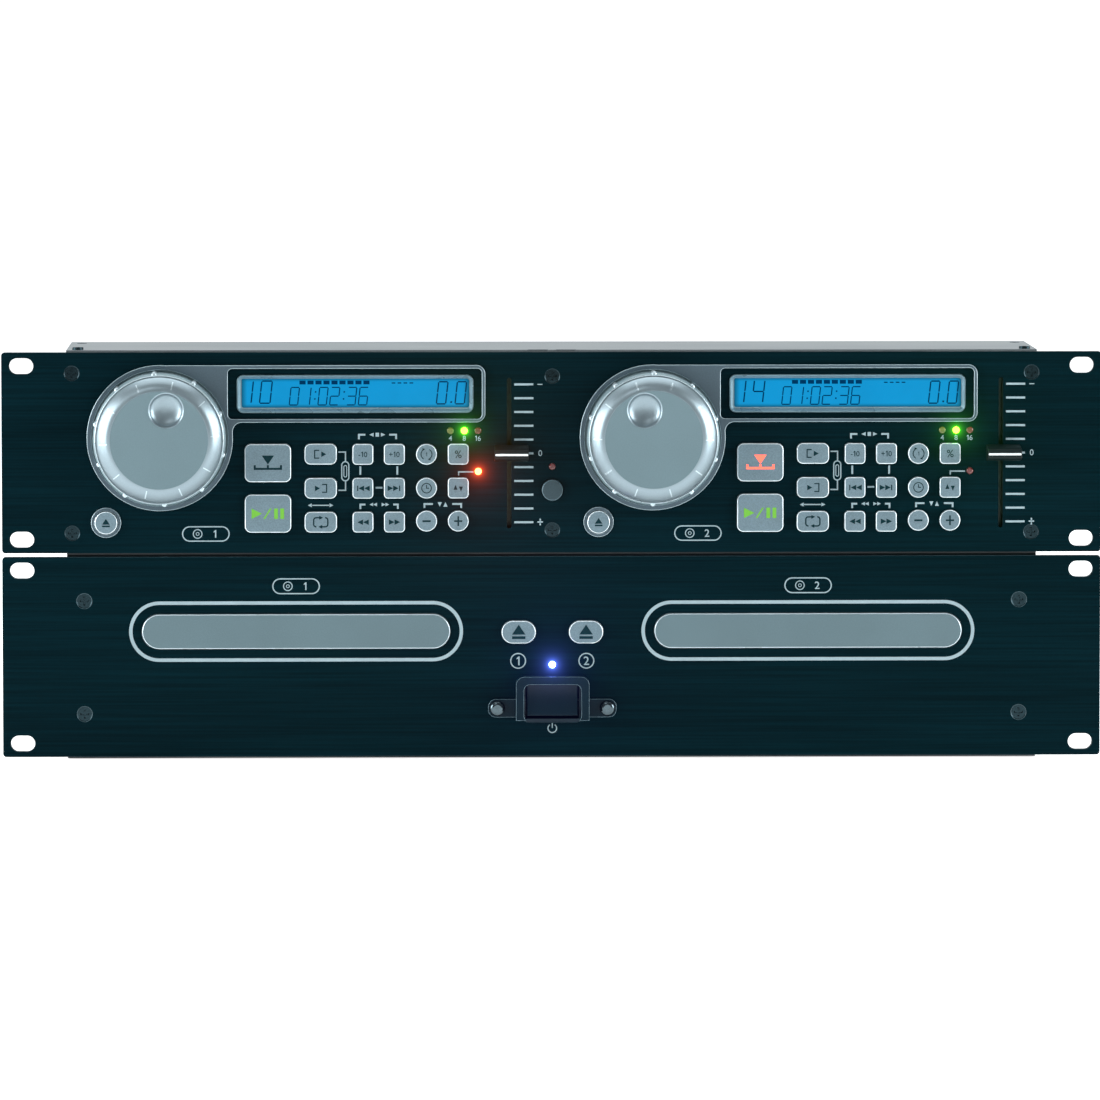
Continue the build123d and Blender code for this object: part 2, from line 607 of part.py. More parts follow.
def jog_wheel(deck, offset):
    """Wheel with a nubbed rim, a sloped band, a finger dimple and the shaft to its encoder."""
    profile = Polyline(
        (0, JOG_LIFT),
        (JOG_RIM_R - JOG_CHAMFER, JOG_LIFT),
        (JOG_RIM_R, JOG_LIFT + JOG_CHAMFER),
        (JOG_RIM_R - JOG_DRAFT, JOG_RIM_H - JOG_RIM_ROUND),
        (JOG_RIM_R - JOG_DRAFT - JOG_RIM_ROUND, JOG_RIM_H),
        (JOG_GROOVE_R, JOG_RIM_H),
        (JOG_GROOVE_R, JOG_RIM_H - JOG_GROOVE_DEPTH),
        (JOG_BAND_R, JOG_RIM_H - JOG_GROOVE_DEPTH),
        (JOG_BAND_R, JOG_BAND_H),
        (JOG_FLAT_R, JOG_H),
        (0, JOG_H),
        close=True,
    )
    wheel = revolve(make_face(profile), Axis.Y)
    turn = DIMPLE_TURN[deck]
    pitch = 360 / JOG_NUBS
    nub_middle = (JOG_LIFT + JOG_RIM_H) / 2
    nub = Rot(90, 0, 0) * Cylinder(JOG_NUB_R, JOG_RIM_H - JOG_LIFT - 2 * JOG_CHAMFER)
    nub = Pos(0, nub_middle, JOG_RIM_R + JOG_NUB_OUT - JOG_NUB_R) * nub
    for index in range(JOG_NUBS):
        wheel += Rot(0, turn + pitch * (index + 0.5), 0) * nub
    ball_r = (DIMPLE_R**2 + DIMPLE_DEPTH**2) / (2 * DIMPLE_DEPTH)
    wheel -= Rot(0, turn, 0) * Pos(0, JOG_H - DIMPLE_DEPTH + ball_r, DIMPLE_OFF) * Sphere(ball_r)
    wheel = Pos(JOG_X + offset, FRONT, HIGH + JOG_Z) * mirror(wheel, Plane.XZ)
    shaft_end = BOARD_FRONT - 2 * ENCODER_FLOOR
    shaft = rod_y(JOG_X + offset, HIGH + JOG_Z, JOG_SHAFT_R, FRONT - JOG_LIFT, shaft_end)
    return wheel + shaft


def pitch_fader(offset):
    """Fader cap with a raised middle ridge, on the blade that runs in the potentiometer."""
    x = CAP_X + offset
    z = HIGH + CAP_Z
    foot = FRONT - CAP_LIFT
    tip = foot - CAP_OUT
    half = CAP_H / 2
    side = Polyline(
        (foot, -half),
        (tip + CAP_SLOPE_W, -half + CAP_SLOPE_H),
        (tip, -half + CAP_TIP_H),
        (tip, half - CAP_TIP_H),
        (tip + CAP_SLOPE_W, half - CAP_SLOPE_H),
        (foot, half),
        close=True,
    )
    plane = Plane(origin=(x - CAP_W / 2, 0, z), x_dir=(0, 1, 0), z_dir=(1, 0, 0))
    cap = extrude(plane * make_face(side), amount=CAP_W)
    blade = prism(Pos(FADER_X + offset, z) * Rectangle(BLADE_T, BLADE_H), foot, POT_FRONT + BLADE_IN)
    return cap + blade


def slide_pot(offset):
    """Potentiometer with the slot that the fader's blade runs in."""
    place = Pos(FADER_X + offset, HIGH + CAP_Z)
    body = prism(place * Rectangle(POT_W, POT_H), POT_FRONT, BOARD_FRONT)
    slot = place * Rectangle(BLADE_T + 2 * PART_GAP, 2 * FADER_REACH)
    return body - prism(slot, POT_FRONT - 1, POT_FRONT + BLADE_IN + PART_GAP)


def control_board():
    """Board with a switch behind every key, encoders, potentiometers and spacers to the panel."""
    half = BOARD_W / 2
    pieces = [slab(-half, half, BOARD_FRONT, BOARD_FRONT + BOARD_T, HIGH + BOARD_LOW, HIGH + BOARD_HIGH)]
    pieces.append(key_switch(RELAY_KEY[0], RELAY_KEY[1], HIGH))
    for offset in DECKS.values():
        for caps in KEYS.values():
            for cap in caps:
                pieces.append(key_switch(cap[0] + offset, cap[1], HIGH))
        x = JOG_X + offset
        z = HIGH + JOG_Z
        encoder = rod_y(x, z, ENCODER_R, ENCODER_FRONT, BOARD_FRONT)
        encoder -= rod_y(x, z, JOG_SHAFT_R + FIT_GAP, ENCODER_FRONT - 1, BOARD_FRONT - ENCODER_FLOOR)
        pieces.append(encoder)
        pieces.append(slide_pot(offset))
        for x, z in BOARD_SPACERS:
            pieces.append(rod_y(x + offset, HIGH + z, SPACER_R, CASE_FRONT, BOARD_FRONT))
    return pieces


def lamp(x, z, base, y_back):
    """Lamp with a domed front, as deep as its board lies."""
    body = rod_y(x, base + z, LAMP_R, FRONT - LAMP_PROUD, y_back)
    return fillet(body.faces().sort_by(Axis.Y)[0].edges(), LAMP_PROUD)


def indicator_lamps():
    pieces = [lamp(*RELAY_LAMP, HIGH, BOARD_FRONT), lamp(*POWER_LAMP, LOW, BOARD_FRONT)]
    for offset in DECKS.values():
        for x, z in DECK_LAMPS:
            pieces.append(lamp(x + offset, z, HIGH, BOARD_FRONT))
    return pieces


def disc_tray(x):
    """Tray with its rounded front, the recesses for both disc sizes and the slot for the pickup."""
    face = prism(Pos(x, TRAY_Z) * tray_outline(), FRONT - TRAY_PROUD, TRAY_BACK_Y)
    face = fillet(face.faces().sort_by(Axis.Y)[0].edges(), 0.6)
    half = TRAY_W / 2
    plate = slab(x - half, x + half, TRAY_BACK_Y, TRAY_BACK_Y + TRAY_L, TRAY_BOTTOM, TRAY_TOP)
    plate -= post_z(x, DISC_Y, DISC_R + DISC_ROOM, TRAY_TOP - RECESS_DEPTH, TRAY_TOP + 1)
    small_floor = TRAY_TOP - RECESS_DEPTH - SMALL_RECESS_DEPTH
    plate -= post_z(x, DISC_Y, SMALL_DISC_R + DISC_ROOM, small_floor, TRAY_TOP)
    half = PICKUP_SLOT_W / 2
    front = DISC_Y - PICKUP_SLOT_FRONT
    back = DISC_Y + PICKUP_SLOT_BACK
    plate -= slab(x - half, x + half, front, back, TRAY_BOTTOM - 1, TRAY_TOP + 1)
    return face + plate


def transport_frame(x):
    """Frame with the runners that carry the tray and the bridge that holds the puck."""
    outer = WALL_IN + WALL_T
    frame = slab(x - outer, x + outer, TRANSPORT_FRONT, TRANSPORT_BACK, BASE_Z, BASE_Z + BASE_T)
    for side in (-1, 1):
        near = x + side * WALL_IN
        far = x + side * outer
        frame += slab(near, far, TRANSPORT_FRONT, TRANSPORT_BACK, BASE_Z, BRIDGE_Z + BRIDGE_T)
        tip = near - side * RUNNER_IN
        under = TRAY_BOTTOM - PART_GAP
        over = TRAY_TOP + PART_GAP
        frame += slab(near, tip, TRANSPORT_FRONT, TRANSPORT_BACK, under - RUNNER_T, under)
        frame += slab(near, tip, TRANSPORT_FRONT, TRANSPORT_BACK, over, over + RUNNER_T)
        for y in (TRANSPORT_FRONT + POST_INSET, TRANSPORT_BACK - POST_INSET):
            frame += post_z(x + side * (outer - POST_INSET), y, POST_R, PLAYER_BASE + SHEET_T, BASE_Z)
    half = BRIDGE_W / 2
    bridge = slab(x - outer, x + outer, DISC_Y - half, DISC_Y + half, BRIDGE_Z, BRIDGE_Z + BRIDGE_T)
    bridge -= post_z(x, DISC_Y, PUCK_NECK_R + PART_GAP, BRIDGE_Z - 1, BRIDGE_Z + BRIDGE_T + 1)
    return frame + bridge


def traverse_deck(x):
    """Plate on four dampers that carries the spindle motor and the guide rods' holders."""
    half = DECK_PLATE_W / 2
    front = DISC_Y - DECK_PLATE_FRONT
    back = DISC_Y + DECK_PLATE_BACK
    top = DECK_PLATE_Z + DECK_PLATE_T
    deck = slab(x - half, x + half, front, back, DECK_PLATE_Z, top)
    for side in (-1, 1):
        for y in (front + POST_INSET, back - POST_INSET):
            deck += post_z(x + side * (half - DAMPER_INSET), y, DAMPER_R, BASE_Z + BASE_T, DECK_PLATE_Z)
        rod_x = x + side * ROD_SPREAD
        for start in (HOLDER_FRONT, HOLDER_BACK):
            y0 = DISC_Y + start
            half_w = HOLDER_W / 2
            deck += slab(rod_x - half_w, rod_x + half_w, y0, y0 + HOLDER_L, top, ROD_Z + ROD_R + HOLDER_OVER)
        deck -= rod_y(rod_x, ROD_Z, ROD_R, DISC_Y + HOLDER_FRONT - 1, DISC_Y + HOLDER_BACK + HOLDER_L + 1)
    return deck


def guide_rods(x):
    front = DISC_Y + HOLDER_FRONT
    back = DISC_Y + HOLDER_BACK + HOLDER_L
    return [rod_y(x + side * ROD_SPREAD, ROD_Z, ROD_R, front, back) for side in (-1, 1)]


def spindle_motor(x):
    base = DECK_PLATE_Z + DECK_PLATE_T
    top = base + MOTOR_H
    bore = post_z(x, DISC_Y, SPINDLE_R + FIT_GAP, top - MOTOR_BORE_DEPTH, top + 1)
    return post_z(x, DISC_Y, MOTOR_R, base, top) - bore


def loading_motor(x):
    """Motor with its gearbox that drives the tray, at the front corner of the frame."""
    width, length, height = LOADER
    x0 = x - WALL_IN + LOADER_INSET
    y0 = TRANSPORT_FRONT + LOADER_INSET
    return slab(x0, x0 + width, y0, y0 + length, BASE_Z + BASE_T, BASE_Z + BASE_T + height)


def turntable(x):
    """Spindle and table under the tray, and the puck above it that clamps the disc on the same axis."""
    motor_top = DECK_PLATE_Z + DECK_PLATE_T + MOTOR_H
    table_z = motor_top + TABLE_GAP
    table = post_z(x, DISC_Y, SPINDLE_R, motor_top - MOTOR_BORE_DEPTH + PART_GAP, table_z)
    table += post_z(x, DISC_Y, TABLE_R, table_z, table_z + TABLE_T)
    table += Pos(x, DISC_Y, table_z + TABLE_T + CONE_H / 2) * Cone(CONE_R, CONE_TIP_R, CONE_H)
    puck = post_z(x, DISC_Y, PUCK_R, PUCK_Z, PUCK_Z + PUCK_T)
    puck_top = BRIDGE_Z + BRIDGE_T + PART_GAP
    puck += post_z(x, DISC_Y, PUCK_NECK_R, PUCK_Z + PUCK_T, puck_top)
    puck += post_z(x, DISC_Y, PUCK_R, puck_top, puck_top + PUCK_T)
    return [table, puck]


def pickup(x):
    """Optical pickup on its two guide rods."""
    base = DECK_PLATE_Z + DECK_PLATE_T + PICKUP_LIFT
    y0 = DISC_Y + PICKUP_START
    body = slab(x - PICKUP_W / 2, x + PICKUP_W / 2, y0, y0 + PICKUP_L, base, base + PICKUP_H)
    body += post_z(x, y0 + PICKUP_L / 2, LENS_R, base + PICKUP_H, base + PICKUP_H + LENS_H)
    for side in (-1, 1):
        body -= rod_y(x + side * ROD_SPREAD, ROD_Z, ROD_R + FIT_GAP, y0 - 1, y0 + PICKUP_L + 1)
    return body


def switch_guard():
    """Hoop over the rocker, with an ear each side for its screw."""
    half = GUARD_W / 2
    height = GUARD_HIGH - GUARD_LOW
    place = Pos(0, LOW + (GUARD_HIGH + GUARD_LOW) / 2)
    hoop = place * RectangleRounded(GUARD_W, height, GUARD_R)
    hoop += Pos(0, LOW + GUARD_LOW + height / 4) * Rectangle(GUARD_W, height / 2)
    inner = Pos(0, LOW + GUARD_LOW + (height - GUARD_BAR) / 2 - 1)
    hoop -= inner * Rectangle(GUARD_W - 2 * GUARD_BAR, height - GUARD_BAR + 2)
    guard = prism(hoop, FRONT - GUARD_OUT, FRONT)
    screw_x, screw_z = EAR_SCREW
    for side in (-1, 1):
        x0 = side * (half - GUARD_BAR)
        guard += slab(x0, side * EAR_X, FRONT - EAR_T, FRONT, LOW + EAR_LOW, LOW + EAR_HIGH)
        guard -= rod_y(side * screw_x, LOW + screw_z, SCREW_R + SNUG_GAP, FRONT - EAR_T - 1, FRONT + 1)
    return guard


def power_rocker():
    """Rocker on its pin, with two flats that meet at the middle, tilted to its rest."""
    z = LOW + (ROCKER_LOW + ROCKER_HIGH) / 2
    half = (ROCKER_HIGH - ROCKER_LOW) / 2 - ROCKER_END_GAP
    side = Polyline(
        (-ROCKER_TIP, half),
        (-ROCKER_MIDDLE, 0),
        (-ROCKER_TIP, -half),
        (-ROCKER_SHOULDER, -half),
        (ROCKER_BACK, -half / 3),
        (ROCKER_BACK, half / 3),
        (-ROCKER_SHOULDER, half),
        close=True,
    )
    pin_y = FRONT + ROCKER_PIN_IN
    plane = Plane(origin=(-ROCKER_W / 2, pin_y, z), x_dir=(0, 1, 0), z_dir=(1, 0, 0))
    rocker = extrude(plane * Rot(0, 0, -ROCKER_TILT) * make_face(side), amount=ROCKER_W)
    reach = ROCKER_W / 2 + ROCKER_GAP + SWITCH_BODY_WALL - PART_GAP
    return rocker + Pos(0, pin_y, z) * Rot(0, 90, 0) * Cylinder(ROCKER_PIN_R, 2 * reach)


def switch_housing():
    """Open box behind the panel that carries the rocker's pin."""
    z = LOW + (ROCKER_LOW + ROCKER_HIGH) / 2
    height = ROCKER_HIGH - ROCKER_LOW
    outer = Pos(0, z) * cap_outline(ROCKER_W, height, 1.0, ROCKER_GAP + SWITCH_BODY_WALL)
    inner = Pos(0, z) * Rectangle(ROCKER_W + 2 * ROCKER_GAP, height + 2 * ROCKER_GAP)
    body = prism(outer, FRONT, FRONT + SWITCH_BODY_DEPTH)
    body -= prism(inner, FRONT - 1.0, FRONT + SWITCH_BODY_DEPTH - SWITCH_BODY_FLOOR)
    reach = ROCKER_W / 2 + ROCKER_GAP + SWITCH_BODY_WALL + 1
    bore = Rot(0, 90, 0) * Cylinder(ROCKER_PIN_R + FIT_GAP, 2 * reach)
    return body - Pos(0, FRONT + ROCKER_PIN_IN, z) * bore


def panel_screws():
    """Countersunk screws of both panels, dome screws of the guard and pan screws of both lids."""
    pieces = []
    for base, screws in ((HIGH, CONTROLLER_SCREWS), (LOW, PLAYER_SCREWS)):
        for x, z in screws:
            pieces.append(countersink(x, z, base, 0.0))
    for side in (-1, 1):
        x = side * EAR_SCREW[0]
        z = LOW + EAR_SCREW[1]
        face = FRONT - EAR_T
        dome = rod_y(x, z, DOME_R, face - DOME_H, face)
        dome = fillet(dome.faces().sort_by(Axis.Y)[0].edges(), DOME_H * 0.9)
        pieces.append(dome + rod_y(x, z, SCREW_R, face, CASE_FRONT + 3))
    lids = ((CONTROLLER_BASE, CONTROLLER_COVER_SCREWS_Y), (PLAYER_BASE, PLAYER_COVER_SCREWS_Y))
    for base, rows in lids:
        top = base + UNIT_PITCH
        for side in (-1, 1):
            x = side * (CASE_W / 2 - COVER_SCREW_INSET)
            for y in rows:
                head = post_z(x, y, PAN_R, top, top + PAN_H)
                pieces.append(head + post_z(x, y, SCREW_R, top - 2 * SHEET_T - 1, top))
    return pieces


def player_boards():
    """Main board by the rear sockets, power supply between the transports, and the key board at the front."""
    floor = PLAYER_BASE + SHEET_T
    deck = floor + STANDOFF_H
    pieces = []
    for x0, x1, y0, y1 in (MAIN_BOARD, SUPPLY_BOARD):
        pieces.append(slab(x0, x1, y0, y1, deck, deck + BOARD_T))
        for x in (x0 + STANDOFF_INSET, x1 - STANDOFF_INSET):
            for y in (y0 + STANDOFF_INSET, y1 - STANDOFF_INSET):
                pieces.append(post_z(x, y, SPACER_R, floor, deck))
    top = deck + BOARD_T
    for x0, x1, y0, y1, height in (TRANSFORMER, HEAT_SINK, *CHIPS):
        pieces.append(slab(x0, x1, y0, y1, top, top + height))
    for x, y in CAPACITORS:
        pieces.append(post_z(x, y, CAPACITOR_R, top, top + CAPACITOR_H))
    x0, x1, low, high = KEY_BOARD
    pieces.append(slab(x0, x1, BOARD_FRONT, BOARD_FRONT + BOARD_T, LOW + low, LOW + high))
    for x, z, *_ in OPEN_KEYS.values():
        pieces.append(key_switch(x, z, LOW))
        spacer_x = KEY_BOARD_SPACER_X if x > 0 else -KEY_BOARD_SPACER_X
        pieces.append(rod_y(spacer_x, LOW + z, SPACER_R, CASE_FRONT, BOARD_FRONT))
    return pieces


def round_socket(x, z, outer, bore, reach, flange, wall_out):
    """Round socket through a back wall: barrel outside, square body inside."""
    wall_in = wall_out - SHEET_T
    socket = rod_y(x, z, outer, wall_in, wall_out + reach)
    half = flange / 2
    socket += slab(x - half, x + half, wall_in - SOCKET_BODY_D, wall_in, z - half, z + half)
    return socket - rod_y(x, z, bore, wall_out - SOCKET_FLOOR, wall_out + reach + 1)


def power_inlet():
    """Mains inlet: a flanged cup with three flat pins."""
    back = PLAYER_BACK
    place = Pos(INLET_X, SOCKET_Z)
    cup = prism(place * Rectangle(INLET_W, INLET_H), back - INLET_D, back)
    flange = place * RectangleRounded(INLET_FLANGE_W, INLET_FLANGE_H, INLET_FLANGE_R)
    cup += prism(flange, back, back + INLET_FLANGE_T)
    hollow = Rectangle(INLET_W - 2 * INLET_WALL, INLET_H - 2 * INLET_WALL)
    floor_y = back - INLET_D + INLET_WALL
    cup -= prism(place * hollow, floor_y, back + INLET_FLANGE_T + 1)
    for x, z in PINS:
        cup += prism(Pos(INLET_X + x, SOCKET_Z + z) * Rectangle(PIN_W, PIN_H), floor_y, floor_y + PIN_L)
    return cup


def voltage_selector():
    place = Pos(VOLTAGE_X, SOCKET_Z)
    body = prism(place * Rectangle(VOLTAGE_W, VOLTAGE_H), PLAYER_BACK - VOLTAGE_D, PLAYER_BACK)
    recess = Rectangle(VOLTAGE_W - 2 * VOLTAGE_WALL, VOLTAGE_H - 2 * VOLTAGE_WALL)
    return body - prism(place * recess, PLAYER_BACK - VOLTAGE_WALL, PLAYER_BACK + 1)


def rear_sockets():
    pieces = [round_socket(*place, PLAYER_BACK) for place in rear_places()]
    for x in CONTROLLER_DINS_X:
        place = (x, HIGH + MID_Z, DIN_R, DIN_RECESS_R, DIN_OUT, DIN_FLANGE)
        pieces.append(round_socket(*place, CONTROLLER_BACK))
    return [*pieces, power_inlet(), voltage_selector()]


def build():
    os.makedirs("parts", exist_ok=True)
    node("controller_front_panel", controller_front_panel())
    node("player_front_panel", player_front_panel())
    node("controller_chassis", controller_chassis())
    node("player_chassis", player_chassis())
    node("controller_top_cover", controller_top_cover())
    node("player_top_cover", cover(PLAYER_BASE, PLAYER_D, PLAYER_COVER_SCREWS_Y))
    bezels = []
    displays = []
    for deck, offset in DECKS.items():
        bezels += [deck_bezel(offset), eject_ring(offset)]
        displays += display_module(offset)
        node(f"{deck}_jog_wheel", jog_wheel(deck, offset))
        node(f"{deck}_pitch_fader", pitch_fader(offset))
        for name, caps in KEYS.items():
            node(f"{deck}_{name}", *[key_cap(*shifted(cap, offset), HIGH) for cap in caps])
    node("deck_bezels", *bezels)
    node("display_modules", *displays)
    node("relay_key", key_cap(*RELAY_KEY, HIGH))
    for name, key in OPEN_KEYS.items():
        node(name, key_cap(*key, LOW))
    transports = []
    for number, x in TRAYS.items():
        node(f"tray_{number}", disc_tray(x))
        node(f"turntable_{number}", *turntable(x))
        node(f"pickup_{number}", pickup(x))
        transports += [transport_frame(x), traverse_deck(x), *guide_rods(x)]
        transports += [spindle_motor(x), loading_motor(x)]
    node("disc_transports", *transports)
    node("control_board", *control_board())
    node("player_boards", *player_boards())
    node("indicator_lamps", *indicator_lamps())
    node("panel_screws", *panel_screws())
    node("switch_guard", switch_guard())
    node("power_rocker", power_rocker())
    node("switch_housing", switch_housing())
    node("rear_sockets", *rear_sockets())


build()
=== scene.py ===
"""Looks of a rack-mounted dual disc player with its two-deck controller.

Lengths of pieces are in millimetres on a panel: x to the right, y from the panel's face to the back and
z up from the panel's lower edge. ON_CONTROLLER and ON_PLAYER turn them into the frame, in metres.
"""

import math

import bmesh
import bpy
from bpy.props import FloatProperty, FloatVectorProperty, IntProperty, PointerProperty
from mathutils import Matrix, Vector


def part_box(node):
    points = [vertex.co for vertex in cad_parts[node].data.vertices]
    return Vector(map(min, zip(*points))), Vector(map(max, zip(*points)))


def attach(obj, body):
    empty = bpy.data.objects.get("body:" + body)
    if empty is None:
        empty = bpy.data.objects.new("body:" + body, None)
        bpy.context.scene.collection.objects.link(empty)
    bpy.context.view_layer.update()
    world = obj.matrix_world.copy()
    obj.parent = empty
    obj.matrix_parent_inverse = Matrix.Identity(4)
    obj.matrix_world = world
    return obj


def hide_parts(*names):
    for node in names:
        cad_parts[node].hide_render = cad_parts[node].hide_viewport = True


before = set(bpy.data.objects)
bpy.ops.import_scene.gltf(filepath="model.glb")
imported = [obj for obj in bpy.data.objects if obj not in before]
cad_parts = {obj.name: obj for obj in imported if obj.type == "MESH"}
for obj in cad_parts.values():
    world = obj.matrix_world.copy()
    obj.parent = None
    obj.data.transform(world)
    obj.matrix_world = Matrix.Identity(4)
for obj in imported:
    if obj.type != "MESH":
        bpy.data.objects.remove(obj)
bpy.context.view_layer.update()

bl_info = {
    "name": "Dual disc player",
    "version": (1, 0, 0),
    "blender": (4, 5, 0),
    "location": "View3D > Sidebar > Disc player",
    "description": "Finishes, prints and modelled details of a rack-mounted dual disc player",
    "category": "Object",
}

MM = 0.001


def panel_place(panel):
    """Matrix from millimetres on a front panel to the frame."""
    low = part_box(panel)[0]
    return Matrix.Translation((0, low.y, low.z)) @ Matrix.Scale(MM, 4)


ON_CONTROLLER = panel_place("controller_front_panel")
ON_PLAYER = panel_place("player_front_panel")
DECKS = {"deck1": 0.0, "deck2": 216.0}
JOG = (-172.0, 50.6)
JOG_TURN = {"deck1": 13.6, "deck2": -17.5}
TRAYS = {"1": -112.5, "2": 112.5}
TRAY_Z = 55.2
TRAY_SIGN_Z = 75.1
GLASS_X, GLASS_Z, GLASS_W, GLASS_H = -86.3, 70.3, 99.8, 13.0
KEY_OUT = 2.2
PRINT_ROOT = 0.02


def tone(red, green, blue):
    """Linear colour from display values out of 255."""
    shares = [value / 255 for value in (red, green, blue)]
    return [share / 12.92 if share <= 0.04045 else ((share + 0.055) / 1.055) ** 2.4 for share in shares]


def colour(name, description, red, green, blue):
    return FloatVectorProperty(name=name, description=description, subtype="COLOR", size=3, min=0, max=1,
                               default=tone(red, green, blue))


class ConsoleColours(bpy.types.PropertyGroup):
    panel: colour("Panel", "Brushed and anodised front panels", 2, 24, 30)
    case: colour("Case", "Coated steel of both cases", 24, 33, 37)
    bezel: colour("Bezel", "Rings and display frames of the decks", 62, 80, 90)
    # Painted highlight: a light colour on every rounded edge of the bezels.
    bezel_edge: colour("Bezel edge", "Painted highlight on the edges of the deck bezels", 158, 180, 188)
    jog: colour("Jog wheel", "Paint of the jog wheels", 137, 154, 162)
    key: colour("Key", "Paint of the keys", 101, 123, 133)
    # Painted highlight: near-white colour on the keys' rounded edges, where light catches them.
    key_rim: colour("Key rim", "Rounded edge of the keys", 226, 240, 246)
    glyph: colour("Glyph", "Symbols printed on the keys", 4, 38, 44)
    legend: colour("Legend", "Lines and symbols printed on the panels", 138, 160, 168)
    tray: colour("Tray", "Faces of the disc trays", 90, 112, 119)
    screen: colour("Screen", "Lit display glass", 0, 145, 205)
    screen_ink: colour("Screen ink", "Dark segments of the displays", 0, 44, 78)
    board: colour("Board", "Circuit boards", 20, 70, 44)


def amount(name, description, default, low, high, **unit):
    return FloatProperty(name=name, description=description, default=default, min=low, max=high, **unit)


def count(name, description, default, low, high):
    return IntProperty(name=name, description=description, default=default, min=low, max=high)


def spot(name, description, default):
    return FloatVectorProperty(name=name, description=description, subtype="TRANSLATION", unit="LENGTH",
                               default=default)


class ConsoleSizes(bpy.types.PropertyGroup):
    print_height: amount("Print height",
                         "Thickness of a print over its surface, in millimetres", 0.05, 0.02, 0.2)
    line_width: amount("Line width", "Width of the lines printed between the keys, in millimetres", 0.8, 0.3, 2)
    wheel_ticks: count("Wheel ticks", "Ridges on a jog wheel's band", 10, 4, 24)
    wheel_ribs: count("Wheel ribs", "Ribs round a jog wheel's skirt", 120, 40, 180)


class StageSettings(bpy.types.PropertyGroup):
    camera: spot("Camera", "Place of the camera", (-0.0848, -3.628, 0.365))
    aim: spot("Aim", "Point at the middle of the picture", (-0.001, -0.128, 0.0917))
    lens: amount("Lens", "Focal length in millimetres", 261.7, 50, 400)
    side_light: amount("Side light", "Power of each side softbox", 50, 0, 500, unit="POWER")
    top_light: amount("Top light", "Power of the softbox overhead", 28, 0, 500, unit="POWER")
    front_light: amount("Front light", "Power of the softbox by the camera", 9, 0, 500, unit="POWER")


def sizes():
    return bpy.context.scene.console_sizes


# ---------------------------------------------------------------- finishes


